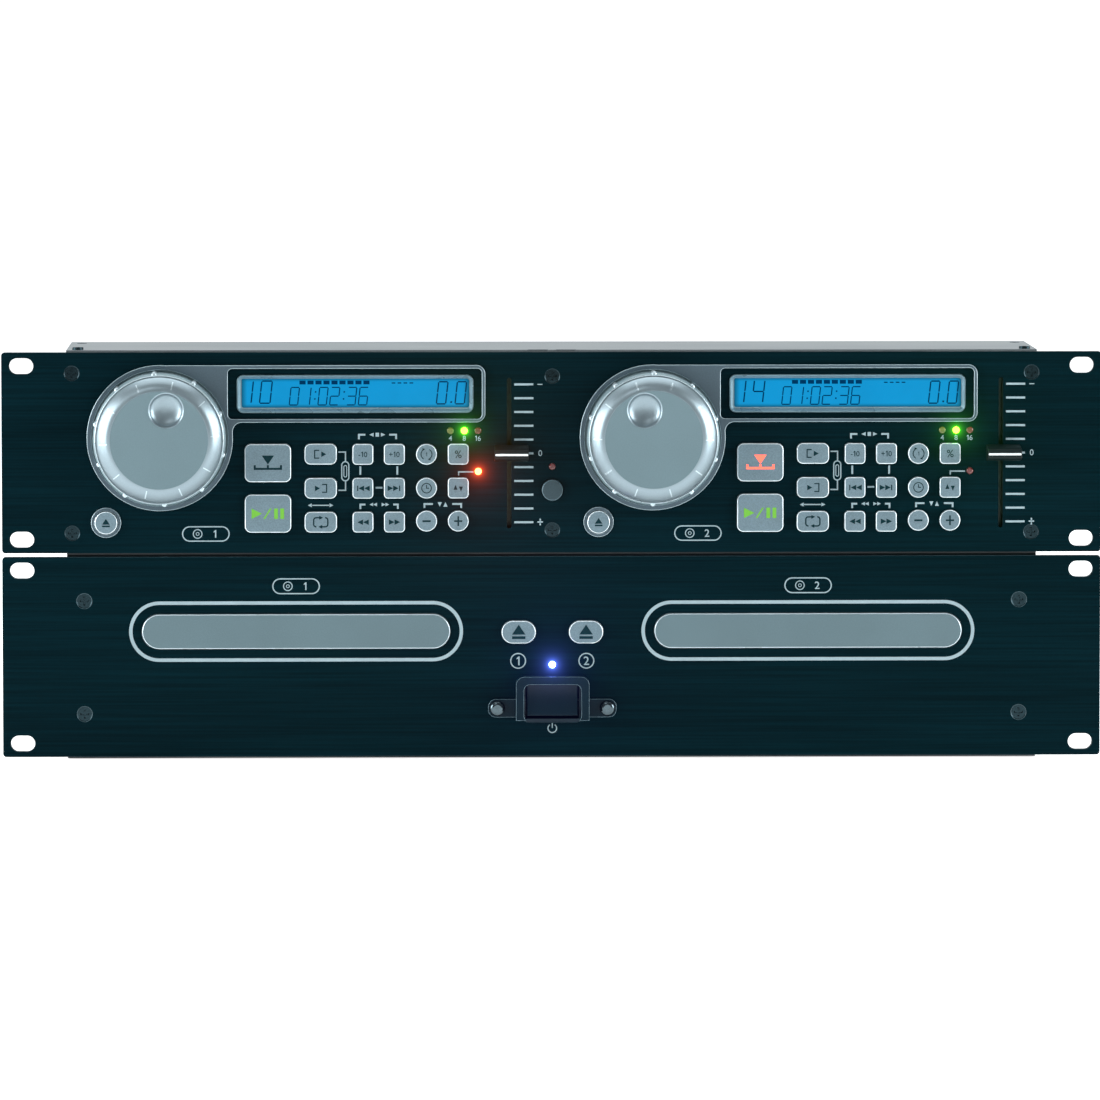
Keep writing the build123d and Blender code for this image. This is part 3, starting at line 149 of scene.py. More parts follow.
# Colour, as a property's name or display values out of 255, then roughness, metallic, fine grain and its
# tint, patches and their tint, spread of the roughness, relief, specular and coat, as finish takes them.
FINISHES = {
    "brushed_panel": ("panel", 0.42, 0.0, (14, 14, 1100), 0.3, (4, 4, 50), 0.12, 0.07, 0.25, 0.02),
    "panel_side": ("panel", 0.5, 0.0, 1500, 0.06, 40, 0.05, 0.06, 0.0, 0.3),
    # Painted highlight on the panels' bevelled edges.
    "panel_edge": ((52, 76, 84), 0.35, 0.2, 1200, 0.15),
    "coated_steel": ("case", 0.42, 0.0, 1800, 0.18, 12, 0.06, 0.05, 0.35),
    # Painted reflection: the controller's lid is black like the player's, given a light grey for the white sheen
    # it shows at a grazing view.
    "lid_steel": ((109.69, 118.25, 122.4), 0.38, 0.2, 1800, 0.16, 14, 0.06, 0.05, 0.3),
    "dark_lid": ((10, 22, 27), 0.5, 0.0, 1800, 0.16, 14, 0.06, 0.05, 0.3, 0.15),
    "slate_moulding": ("bezel", 0.36, 0.15, 1600, 0.10, 30, 0.08, 0.06, 0.15),
    # Painted highlight on the bezels' rounded edges.
    "slate_edge": ("bezel_edge", 0.3, 0.3, 900, 0.14, 60, 0.1),
    "display_frame": ((112, 140, 150), 0.3, 0.5, 1500, 0.1, 60, 0.1),
    "wheel_paint": ("jog", 0.36, 0.8, 2600, 0.05, 35, 0.03, 0.03, 0.06),
    "wheel_face": ((97, 119, 126), 0.5, 0.1, 2600, 0.05, 35, 0.03, 0.03, 0.06, 0.3),
    # Painted highlight on the jog wheels' rim, tick ridges and nubs.
    "wheel_edge": ((186, 204, 211), 0.3, 0.6, 900, 0.08, 60, 0.04),
    # Painted shade: a darker copy of the wheel's paint on the ribbed skirt; the same colour is the painted light
    # of the gap ring.
    "wheel_skirt": ((112, 134, 141), 0.4, 0.2, 1500, 0.08, 60, 0.06),
    "key_paint": ("key", 0.42, 0.35, 2200, 0.16, 90, 0.06, 0.05, 0.25),
    # Painted highlight on the keys' rounded edges.
    "key_rim": ("key_rim", 0.28, 0.3, 1500, 0.06, 120, 0.08),
    "relay_paint": ((38, 60, 68), 0.4, 0.2, 2200, 0.12, 90, 0.06, 0.05, 0.2),
    # Painted highlight on the relay key's rounded edge.
    "relay_rim": ((84, 108, 118), 0.3, 0.3, 1500, 0.08),
    "tray_paint": ("tray", 0.4, 0.4, 2400, 0.10, 30, 0.05, 0.05, 0.15),
    # Painted highlight on the rounded rim of the tray fronts.
    "tray_edge": ((196, 212, 220), 0.3, 0.4, 1200, 0.06),
    "tray_moulding": ((34, 36, 38), 0.5, 0.0, 1500, 0.12, 40, 0.05, 0.06, 0.3),
    "black_moulding": ((22, 24, 26), 0.38, 0.0, 1700, 0.15, 40, 0.05, 0.06, 0.15),
    "fader_moulding": ((4, 18, 22), 0.45, 0.0, 1700, 0.15, 40, 0.05, 0.06, 0.1, 0.2),
    "fader_line": ((226, 236, 238), 0.4, 0.0, 900, 0.05),
    "rocker_moulding": ((6, 32, 44), 0.35, 0.0, 1700, 0.12, 40, 0.05, 0.06, 0.08, 0.25),
    "guard_coat": ((3, 26, 35), 0.32, 0.0, 1200, 0.1, 40, 0.05, 0.04, 0.0, 0.1),
    # Painted highlight on the guard hoop's rounded edges.
    "guard_edge": ((98, 126, 138), 0.25, 0.2, 1200, 0.2, 200, 0.2),
    "dome_steel": ((82, 96, 102), 0.15, 0.95, 900, 0.12, 300, 0.1, 0.04),
    "legend_ink": ("legend", 0.5, 0.0, 1600, 0.08, 120, 0.05),
    "glyph_ink": ("glyph", 0.5, 0.0, 1600, 0.12, 120, 0.06, 0.06, 0.0, 0.1),
    "screen_ink": ("screen_ink", 0.5, 0.0, 900, 0.08, 40, 0.05, 0.06, 0.0, 0.0),
    "black_zinc": ((30, 48, 54), 0.2, 0.85, 1400, 0.18, 300, 0.1, 0.06, 0.15),
    "turned_steel": ((190, 194, 198), 0.25, 1.0, (600, 600, 3000), 0.1, 40, 0.05, 0.05, 0.1),
    "grey_moulding": ((70, 74, 76), 0.5, 0.0, 1400, 0.1, 40, 0.05, 0.06, 0.2),
    "red_moulding": ((170, 26, 22), 0.4, 0.0, 1200, 0.08),
    "white_moulding": ((218, 218, 212), 0.4, 0.0, 1200, 0.05),
    "board_green": ("board", 0.35, 0.0, (420, 60, 420), 0.35, 900, 0.15, 0.06, 0.2),
    "lamp_olive": ((92, 96, 40), 0.14, 0.0, 900, 0.15, 400, 0.15, 0.03, 0.0, 0.5, 0.8),
    "lamp_red_dim": ((92, 24, 26), 0.14, 0.0, 900, 0.15, 400, 0.15, 0.03, 0.0, 0.5, 0.8),
}


def new_finish(name):
    material = bpy.data.materials.new(name)
    material.use_nodes = True
    return material, material.node_tree, material.node_tree.nodes["Principled BSDF"]


def fill(tree, node, inputs):
    """Links an input to an output socket, or gives it a value."""
    for key, value in inputs.items():
        if isinstance(value, bpy.types.NodeSocket):
            tree.links.new(value, node.inputs[key])
        else:
            node.inputs[key].default_value = value


def add_node(tree, kind, inputs, **settings):
    node = tree.nodes.new(kind)
    for name, value in settings.items():
        setattr(node, name, value)
    fill(tree, node, inputs)
    return node


def grain(tree, scale, detail=3.0):
    """Noise on object coordinates, stretched by its scale on each axis."""
    scales = scale if isinstance(scale, tuple) else (scale, scale, scale)
    place = add_node(tree, "ShaderNodeTexCoord", {})
    mapping = add_node(tree, "ShaderNodeMapping", {"Scale": scales, "Vector": place.outputs["Object"]})
    inputs = {"Scale": 1.0, "Detail": detail, "Vector": mapping.outputs["Vector"]}
    return add_node(tree, "ShaderNodeTexNoise", inputs).outputs["Fac"]


def spread(tree, source, low, high):
    """Noise value turned into low to high."""
    inputs = {"From Min": 0.2, "From Max": 0.8, "To Min": low, "To Max": high, "Value": source}
    return add_node(tree, "ShaderNodeMapRange", inputs, interpolation_type="SMOOTHSTEP").outputs["Result"]


def multiply(tree, first, second, **settings):
    return add_node(tree, "ShaderNodeMath", {0: first, 1: second}, operation="MULTIPLY", **settings).outputs[0]


def blend(tree, factor, first, second):
    """Colour between two colours."""
    inputs = {"Factor": factor, "A": (*first, 1), "B": (*second, 1)}
    return add_node(tree, "ShaderNodeMix", inputs, data_type="RGBA").outputs["Result"]


def finish(name, rgb, roughness, metallic=0.0, fine=2500, fine_tint=0.06, patch=40, patch_tint=0.05,
           rough_spread=0.06, relief=0.0, specular=0.5, coat=0.0):
    """Paint, moulding or metal with fine grain, broad patches and a little relief."""
    if name in bpy.data.materials:
        return bpy.data.materials[name]
    material, tree, shader = new_finish(name)
    fine_noise = grain(tree, fine)
    patch_noise = grain(tree, patch, 2.0)
    fine_part = spread(tree, fine_noise, 1 - fine_tint, 1 + fine_tint)
    patch_part = spread(tree, patch_noise, 1 - patch_tint, 1 + patch_tint)
    shade = {0: rgb, "Scale": multiply(tree, fine_part, patch_part)}
    fill(tree, shader, {
        "Base Color": add_node(tree, "ShaderNodeVectorMath", shade, operation="SCALE").outputs["Vector"],
        "Roughness": spread(tree, patch_noise, roughness - rough_spread, roughness + rough_spread),
        "Metallic": metallic, "Specular IOR Level": specular, "Coat Weight": coat, "Coat Roughness": 0.12,
    })
    if relief:
        bump = add_node(tree, "ShaderNodeBump", {"Strength": relief, "Distance": 0.00005, "Height": fine_noise})
        tree.links.new(bump.outputs["Normal"], shader.inputs["Normal"])
    return material


def made_of(name):
    """Material of the table above."""
    rgb, *look = FINISHES[name]
    if isinstance(rgb, str):
        return finish(name, getattr(bpy.context.scene.console_colours, rgb), *look)
    return finish(name, tone(*rgb), *look)


def lit(name, rgb, strength, core=None):
    """Lamp or lit print that glows, brighter at the middle of its face."""
    if name in bpy.data.materials:
        return bpy.data.materials[name]
    material, tree, shader = new_finish(name)
    facing = add_node(tree, "ShaderNodeLayerWeight", {"Blend": 0.35})
    fill(tree, shader, {
        "Base Color": (*rgb, 1), "Roughness": 0.2,
        "Emission Color": blend(tree, facing.outputs["Facing"], core or rgb, rgb),
        "Emission Strength": spread(tree, grain(tree, 700), strength * 0.9, strength * 1.1),
    })
    return material


def lit_glass():
    """Display glass lit from behind, darker and greener towards its edges, on its own UV map."""
    if "lit_glass" in bpy.data.materials:
        return bpy.data.materials["lit_glass"]
    material, tree, shader = new_finish("lit_glass")
    uv = add_node(tree, "ShaderNodeUVMap", {}, uv_map="face")
    parts = add_node(tree, "ShaderNodeSeparateXYZ", {"Vector": uv.outputs["UV"]})
    inside = []
    for axis, steepness in (("X", 40.0), ("Y", 8.0)):
        edge = add_node(tree, "ShaderNodeMath", {0: parts.outputs[axis], 1: 0.5}, operation="PINGPONG")
        inside.append(multiply(tree, edge.outputs[0], steepness, use_clamp=True))
    middle = bpy.context.scene.console_colours.screen
    fill(tree, shader, {
        "Base Color": (0, 0.01, 0.02, 1), "Specular IOR Level": 0.12, "Roughness": 0.25,
        "Emission Color": blend(tree, multiply(tree, *inside), tone(0, 84, 112), middle),
        "Emission Strength": spread(tree, grain(tree, 60), 0.95, 1.05),
    })
    return material


# ---------------------------------------------------------------- shapes


def piece(name, bm, materials, body="housing", place=None, replaces=(), smooth=35.0):
    """Object from a bmesh, put in its place, given materials or names of finishes and set to ride."""
    if place is not None:
        bmesh.ops.transform(bm, matrix=place, verts=bm.verts)
    mesh = bpy.data.meshes.new(name)
    bm.to_mesh(mesh)
    bm.free()
    if "custom_normal" in mesh.attributes:
        mesh.attributes.remove(mesh.attributes["custom_normal"])
    for material in materials:
        mesh.materials.append(made_of(material) if isinstance(material, str) else material)
    mesh.shade_smooth()
    mesh.set_sharp_from_angle(angle=math.radians(smooth))
    obj = bpy.data.objects.new(name, mesh)
    bpy.context.scene.collection.objects.link(obj)
    weigh = obj.modifiers.new("flat_faces", "WEIGHTED_NORMAL")
    weigh.weight = 100
    weigh.keep_sharp = True
    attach(obj, body)
    if replaces:
        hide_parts(*replaces)
    return obj


def merged_copy(node):
    """The CAD node's mesh with its triangles joined and its flat faces made whole."""
    bm = bmesh.new()
    bm.from_mesh(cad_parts[node].data)
    bmesh.ops.remove_doubles(bm, verts=bm.verts, dist=2e-6)
    bmesh.ops.dissolve_limit(bm, angle_limit=math.radians(0.4), verts=bm.verts, edges=bm.edges,
                             delimit={"NORMAL"})
    return bm


def round_edges(obj, width, edge_material=-1, segments=2):
    """Bevel modifier over a piece's sharp edges, width in millimetres."""
    bevel = obj.modifiers.new("round_edges", "BEVEL")
    bevel.width = width * MM
    bevel.segments = segments
    bevel.limit_method = "ANGLE"
    bevel.angle_limit = math.radians(40)
    bevel.material = edge_material
    bevel.use_clamp_overlap = True
    bevel.harden_normals = False
    obj.modifiers.move(len(obj.modifiers) - 1, 0)


def dressed(node, materials, pick=None, body="housing", smooth=35.0, round_mm=0.0, edge_material=-1):
    """A merged copy that stands for its CAD node, with a material for each face."""
    bm = merged_copy(node)
    if pick:
        for face in bm.faces:
            face.material_index = pick(face)
    obj = piece(f"{node}_finish", bm, materials, body, None, [node], smooth)
    if round_mm:
        round_edges(obj, round_mm, edge_material)
    return obj


def bevel(bm, geom, affect, offset, segments):
    bmesh.ops.bevel(bm, geom=geom, affect=affect, offset=offset, segments=segments, profile=0.5, material=-1)


def flat_shape(bm, points, y=0.0):
    """Face through (x, z) points that run anticlockwise seen from the front."""
    return bm.faces.new([bm.verts.new((x, y, z)) for x, z in points])


def flat_rect(bm, x, z, width, height, y=0.0):
    left, right, low, high = x - width / 2, x + width / 2, z - height / 2, z + height / 2
    return flat_shape(bm, [(left, low), (right, low), (right, high), (left, high)], y)


def round_rect(bm, x, z, width, height, radius, y=0.0, segments=8):
    """Rounded rectangle; returns its face."""
    before = set(bm.faces)
    face = flat_rect(bm, x, z, width, height, y)
    offset = min(radius, 0.4995 * min(width, height))
    bevel(bm, face.verts[:], "VERTICES", offset, segments)
    return [face for face in bm.faces if face not in before]


def disc(bm, x, z, radius, y=0.0, segments=40):
    before = set(bm.faces)
    turn = Matrix.Translation((x, y, z)) @ Matrix.Rotation(math.radians(90), 4, "X")
    bmesh.ops.create_circle(bm, cap_ends=True, radius=radius, segments=segments, matrix=turn)
    return [face for face in bm.faces if face not in before]


def outline(bm, faces, width):
    """Leaves a band of that width inside the faces' edge."""
    bmesh.ops.inset_region(bm, faces=faces, thickness=width, use_even_offset=True, use_boundary=True)
    bmesh.ops.delete(bm, geom=faces, context="FACES")


def stroke(bm, points, width):
    """Line of straight pieces that turn at right angles."""
    last = len(points) - 2
    for index in range(len(points) - 1):
        start, end = Vector(points[index]), Vector(points[index + 1])
        along = (end - start).normalized()
        across = Vector((-along.y, along.x)) * width / 2
        if index > 0:
            start += along * width / 2
        if index < last:
            end += along * width / 2
        flat_shape(bm, [start - across, end - across, end + across, start + across])


def arc(bm, x, z, radius, width, start, angle, steps=24):
    """Band of a circle; angles in degrees from the top, clockwise seen from the front."""
    sweep = math.radians(start)
    verts = []
    for reach in (radius - width / 2, radius + width / 2):
        verts.append(bm.verts.new((x + reach * math.sin(sweep), 0, z + reach * math.cos(sweep))))
    edge = bm.edges.new(verts)
    bmesh.ops.spin(bm, geom=[edge], cent=(x, 0, z), axis=(0, 1, 0), angle=math.radians(angle), steps=steps)


def triangle(bm, x, z, width, height, direction):
    """Filled arrowhead; direction is right, left, up or down."""
    points = {
        "right": [(-width / 2, -height / 2), (width / 2, 0), (-width / 2, height / 2)],
        "left": [(width / 2, height / 2), (-width / 2, 0), (width / 2, -height / 2)],
        "up": [(-width / 2, -height / 2), (width / 2, -height / 2), (0, height / 2)],
        "down": [(width / 2, height / 2), (-width / 2, height / 2), (0, -height / 2)],
    }[direction]
    flat_shape(bm, [(x + dx, z + dz) for dx, dz in points])


def letter_mesh(mark):
    """Flat mesh of one sign, a unit high, lying in its own x and y."""
    curve = bpy.data.curves.new("figure", "FONT")
    curve.body = mark
    curve.size = 1.0 / 0.73
    curve.resolution_u = 5
    curve.offset = 0.008
    holder = bpy.data.objects.new("figure", curve)
    mesh = bpy.data.meshes.new_from_object(holder)
    bpy.data.objects.remove(holder)
    bpy.data.curves.remove(curve)
    return mesh


def figures(bm, text, x, z, height):
    """Numbers and signs, centred on a point, as flat faces; the one is drawn with a flag."""
    everything = set(bm.verts)
    pen = 0.0
    for mark in text:
        before = set(bm.verts)
        if mark == "1":
            bar = [(0.17, 0), (0.33, 0), (0.33, 1), (0.20, 1), (0.0, 0.80), (0.0, 0.66), (0.17, 0.78)]
            bm.faces.new([bm.verts.new((px, pz, 0)) for px, pz in bar])
        else:
            mesh = letter_mesh(mark)
            bm.from_mesh(mesh)
            bpy.data.meshes.remove(mesh)
        fresh = [vert for vert in bm.verts if vert not in before]
        left = min(vert.co.x for vert in fresh)
        right = max(vert.co.x for vert in fresh)
        bmesh.ops.translate(bm, verts=fresh, vec=(pen - left, 0, 0))
        pen += right - left + 0.16
    verts = [vert for vert in bm.verts if vert not in everything]
    across, up = ([vert.co[axis] for vert in verts] for axis in (0, 1))
    middle = ((min(across) + max(across)) / 2, (min(up) + max(up)) / 2)
    place = Matrix.Translation((x, 0, z)) @ Matrix.Rotation(math.radians(90), 4, "X") @ Matrix.Scale(height, 4)
    bmesh.ops.transform(bm, matrix=place @ Matrix.Translation((-middle[0], -middle[1], 0)), verts=verts)
    bmesh.ops.remove_doubles(bm, verts=verts, dist=1e-4)


def thicken(bm, faces, depth):
    """Closes flat faces into a solid with a copy moved along y; returns what it adds."""
    added = bmesh.ops.extrude_face_region(bm, geom=faces, use_keep_orig=True)["geom"]
    verts = [item for item in added if isinstance(item, bmesh.types.BMVert)]
    bmesh.ops.translate(bm, verts=verts, vec=(0, depth, 0))
    return added


def face_out(bm):
    bmesh.ops.recalc_face_normals(bm, faces=bm.faces)


def printed(name, bm, material, body="housing", place=None):
    """Turns flat faces at y = 0 into a thin closed print that stands on the surface."""
    for face in bm.faces:
        face.normal_update()
        if face.normal.y > 0:
            face.normal_flip()
    height = sizes().print_height
    bmesh.ops.translate(bm, verts=bm.verts, vec=(0, -height, 0))
    thicken(bm, bm.faces[:], height + PRINT_ROOT)
    face_out(bm)
    return piece(name, bm, [material], body, place, (), 30)


SEGMENTS = {
    "0": "abcdef", "1": "bc", "2": "abged", "3": "abgcd", "4": "fgbc",
    "5": "afgcd", "6": "afgedc", "7": "abc", "8": "abcdefg", "9": "abcdfg",
}


def display_figures(bm, text, x_left, x_right, z_low, z_high, thick, slant=0.11):
    """Slanted seven-segment figures that fill a box; a colon or point takes a third of a figure."""
    units = sum(0.45 if mark in ":." else 1.0 for mark in text)
    pitch = (x_right - x_left) / max(units - 0.25, 0.72)
    width = pitch * 0.72
    height = z_high - z_low
    x = x_left

    def lean(px, pz):
        return (px + (pz - z_low - height / 2) * slant, pz)

    def bar(x0, z0, x1, z1):
        half = thick / 2
        if z0 == z1:
            points = [(x0 + half, z0 - half), (x1 - half, z0 - half), (x1 - half * 0.4, z0),
                      (x1 - half, z0 + half), (x0 + half, z0 + half), (x0 + half * 0.4, z0)]
        else:
            points = [(x0 - half, z0 + half), (x0, z0 + half * 0.4), (x0 + half, z0 + half),
                      (x0 + half, z1 - half), (x0, z1 - half * 0.4), (x0 - half, z1 - half)]
        flat_shape(bm, [lean(*point) for point in points])

    for mark in text:
        if mark in ":.":
            levels = (0.3, 0.7) if mark == ":" else (0.04,)
            for level in levels:
                dot_x, dot_z, dot = x + width * 0.1, z_low + height * level, thick * 1.3
                flat_shape(bm, [lean(dot_x + dx * dot, dot_z + dz * dot)
                                for dx, dz in ((0, 0), (1, 0), (1, 1), (0, 1))])
            x += pitch * 0.45
            continue
        middle, right = z_low + height / 2, x + width
        lines = {
            "a": (x, z_high, right, z_high), "d": (x, z_low, right, z_low), "g": (x, middle, right, middle),
            "f": (x, middle, x, z_high), "b": (right, middle, right, z_high),
            "e": (x, z_low, x, middle), "c": (right, z_low, right, middle),
        }
        for segment in SEGMENTS[mark]:
            bar(*lines[segment])
        x += pitch


def rod(bm, x, z, radius, y_front, y_back, segments=32, round_front=0.0):
    """Closed round bar along y."""
    before = set(bm.verts)
    turn = Matrix.Translation((x, (y_front + y_back) / 2, z)) @ Matrix.Rotation(math.radians(90), 4, "X")
    bmesh.ops.create_cone(bm, cap_ends=True, segments=segments, radius1=radius, radius2=radius,
                          depth=y_back - y_front, matrix=turn)
    verts = [vert for vert in bm.verts if vert not in before]
    if round_front:
        edges = {edge for vert in verts for edge in vert.link_edges
                 if all(abs(end.co.y - y_front) < 1e-4 for end in edge.verts)}
        bevel(bm, list(edges), "EDGES", round_front, 4)


def turned(bm, profile, x, z, steps):
    """Spun shell from (radius, height in front of the panel) points, round an axis along y."""
    verts = [bm.verts.new((x + radius, -height, z)) for radius, height in profile]
    edges = [bm.edges.new(pair) for pair in zip(verts, verts[1:])]
    before = set(bm.verts) - set(verts)
    bmesh.ops.spin(bm, geom=verts + edges, cent=(x, 0, z), axis=(0, 1, 0), angle=math.tau, steps=steps,
                   use_merge=True)
    fresh = [vert for vert in bm.verts if vert not in before]
    bmesh.ops.remove_doubles(bm, verts=fresh, dist=1e-4)


# ---------------------------------------------------------------- pieces


class PanelsOperator(bpy.types.Operator):
    """Brushed front panels, with a painted highlight on their bevelled edges"""
    bl_idname = "disc_player.panels"
    bl_label = "Front panels"

    def execute(self, context):
        for node in ("controller_front_panel", "player_front_panel"):
            # The bevels round the panels' edges take the painted highlight colour.
            dressed(node, ["brushed_panel", "panel_side", "panel_edge"],
                    lambda face: 0 if abs(face.normal.y) > 0.9 else 1, round_mm=0.2, edge_material=2)
        return {"FINISHED"}


class CasesOperator(bpy.types.Operator):
    """Coated steel cases and their lids; the controller's lid carries a painted reflection"""
    bl_idname = "disc_player.cases"
    bl_label = "Cases and lids"

    def execute(self, context):
        for node in ("controller_chassis", "player_chassis"):
            dressed(node, ["coated_steel"], None)
        # The controller's lid takes the light grey of a painted reflection; the player's lid is its own black.
        for node, paint in (("controller_top_cover", "lid_steel"), ("player_top_cover", "dark_lid")):
            dressed(node, [paint], None, round_mm=0.25)
        return {"FINISHED"}


class BezelsOperator(bpy.types.Operator):
    """Slate rings and display frames of the decks, with a painted highlight on their rounded edges"""
    bl_idname = "disc_player.bezels"
    bl_label = "Deck bezels"

    def execute(self, context):
        # The bevel faces take the painted highlight colour.
        dressed("deck_bezels", ["slate_moulding", "slate_edge"], None, round_mm=0.45, edge_material=1)
        return {"FINISHED"}


class DisplaysOperator(bpy.types.Operator):
    """Display frames with sloped sides, lit glass and its figures"""
    bl_idname = "disc_player.displays"
    bl_label = "Displays"

    def execute(self, context):
        for deck, offset in DECKS.items():
            self.make_frame(deck, offset)
            self.make_glass(deck, offset)
            self.make_figures(deck, offset)
        return {"FINISHED"}

    def make_frame(self, deck, offset):
        bm = bmesh.new()
        top = round_rect(bm, -86.45 + offset, 69.85, 103.7, 16.7, 3.0, 8.0, 10)
        added = thicken(bm, top, -8.9)
        faces = [item for item in added if isinstance(item, bmesh.types.BMFace)]
        face = max(faces, key=lambda item: item.calc_area())
        for inset, depth in ((0.3, 0.3), (0.35, 0.0), (1.1, -1.3)):
            bmesh.ops.inset_region(bm, faces=[face], thickness=inset, depth=depth, use_even_offset=True,
                                   use_boundary=True)
        face_out(bm)
        piece(f"{deck}_display_frame", bm, ["display_frame"], "housing", ON_CONTROLLER,
              ["display_modules"], 25)

    def make_glass(self, deck, offset):
        bm = bmesh.new()
        round_rect(bm, GLASS_X + offset, GLASS_Z, GLASS_W, GLASS_H, 1.0, 0.0, 6)
        layer = bm.loops.layers.uv.new("face")
        for face in bm.faces:
            for loop in face.loops:
                across, up = loop.vert.co.x - offset - GLASS_X, loop.vert.co.z - GLASS_Z
                loop[layer].uv = (across / GLASS_W + 0.5, up / GLASS_H + 0.5)
        thicken(bm, bm.faces[:], 1.0)
        face_out(bm)
        piece(f"{deck}_display_glass", bm, [lit_glass()], "housing", ON_CONTROLLER, (), 30)

    def make_figures(self, deck, offset):
        bm = bmesh.new()
        track = {"deck1": "10", "deck2": "14"}[deck]
        for mark, x in zip(track, (-136.1, -127.8)):
            display_figures(bm, mark, x + offset, x + 4.8 + offset, 65.8, 75.5, 0.6)
        display_figures(bm, "01:02:36", -114.9 + offset, -80.8 + offset, 65.0, 72.7, 0.5)
        display_figures(bm, "0.0", -50.3 + offset, -37.9 + offset, 65.4, 75.1, 0.6)
        for index in range(9):
            flat_rect(bm, -109.45 + 3.5 * index + offset, 74.85, 2.7, 1.7)
        for index in range(4):
            flat_rect(bm, -69.6 + 2.6 * index + offset, 74.6, 1.6, 0.5)
        printed(f"{deck}_display_figures", bm, "screen_ink", "housing", ON_CONTROLLER)


# Outline of a jog wheel from its flat face to its hub, as radius and height in front of the panel.
WHEEL_PROFILE = [
    (21.4, 19.0), (21.6, 18.99), (22.0, 18.95), (22.6, 18.82), (23.3, 18.55), (24.1, 18.1), (24.9, 17.5),
    (25.6, 16.85), (26.2, 16.25), (26.8, 15.6), (27.25, 15.05), (27.4, 14.7), (27.4, 13.4), (27.75, 13.4),
    (27.75, 13.8), (27.85, 13.95), (28.05, 14.0), (28.2, 13.9), (28.3, 13.6), (28.35, 13.0), (28.6, 12.75),
    (28.95, 12.3), (29.0, 11.0), (29.0, 3.0), (29.0, 1.8), (28.2, 1.0), (3.0, 1.0),
]


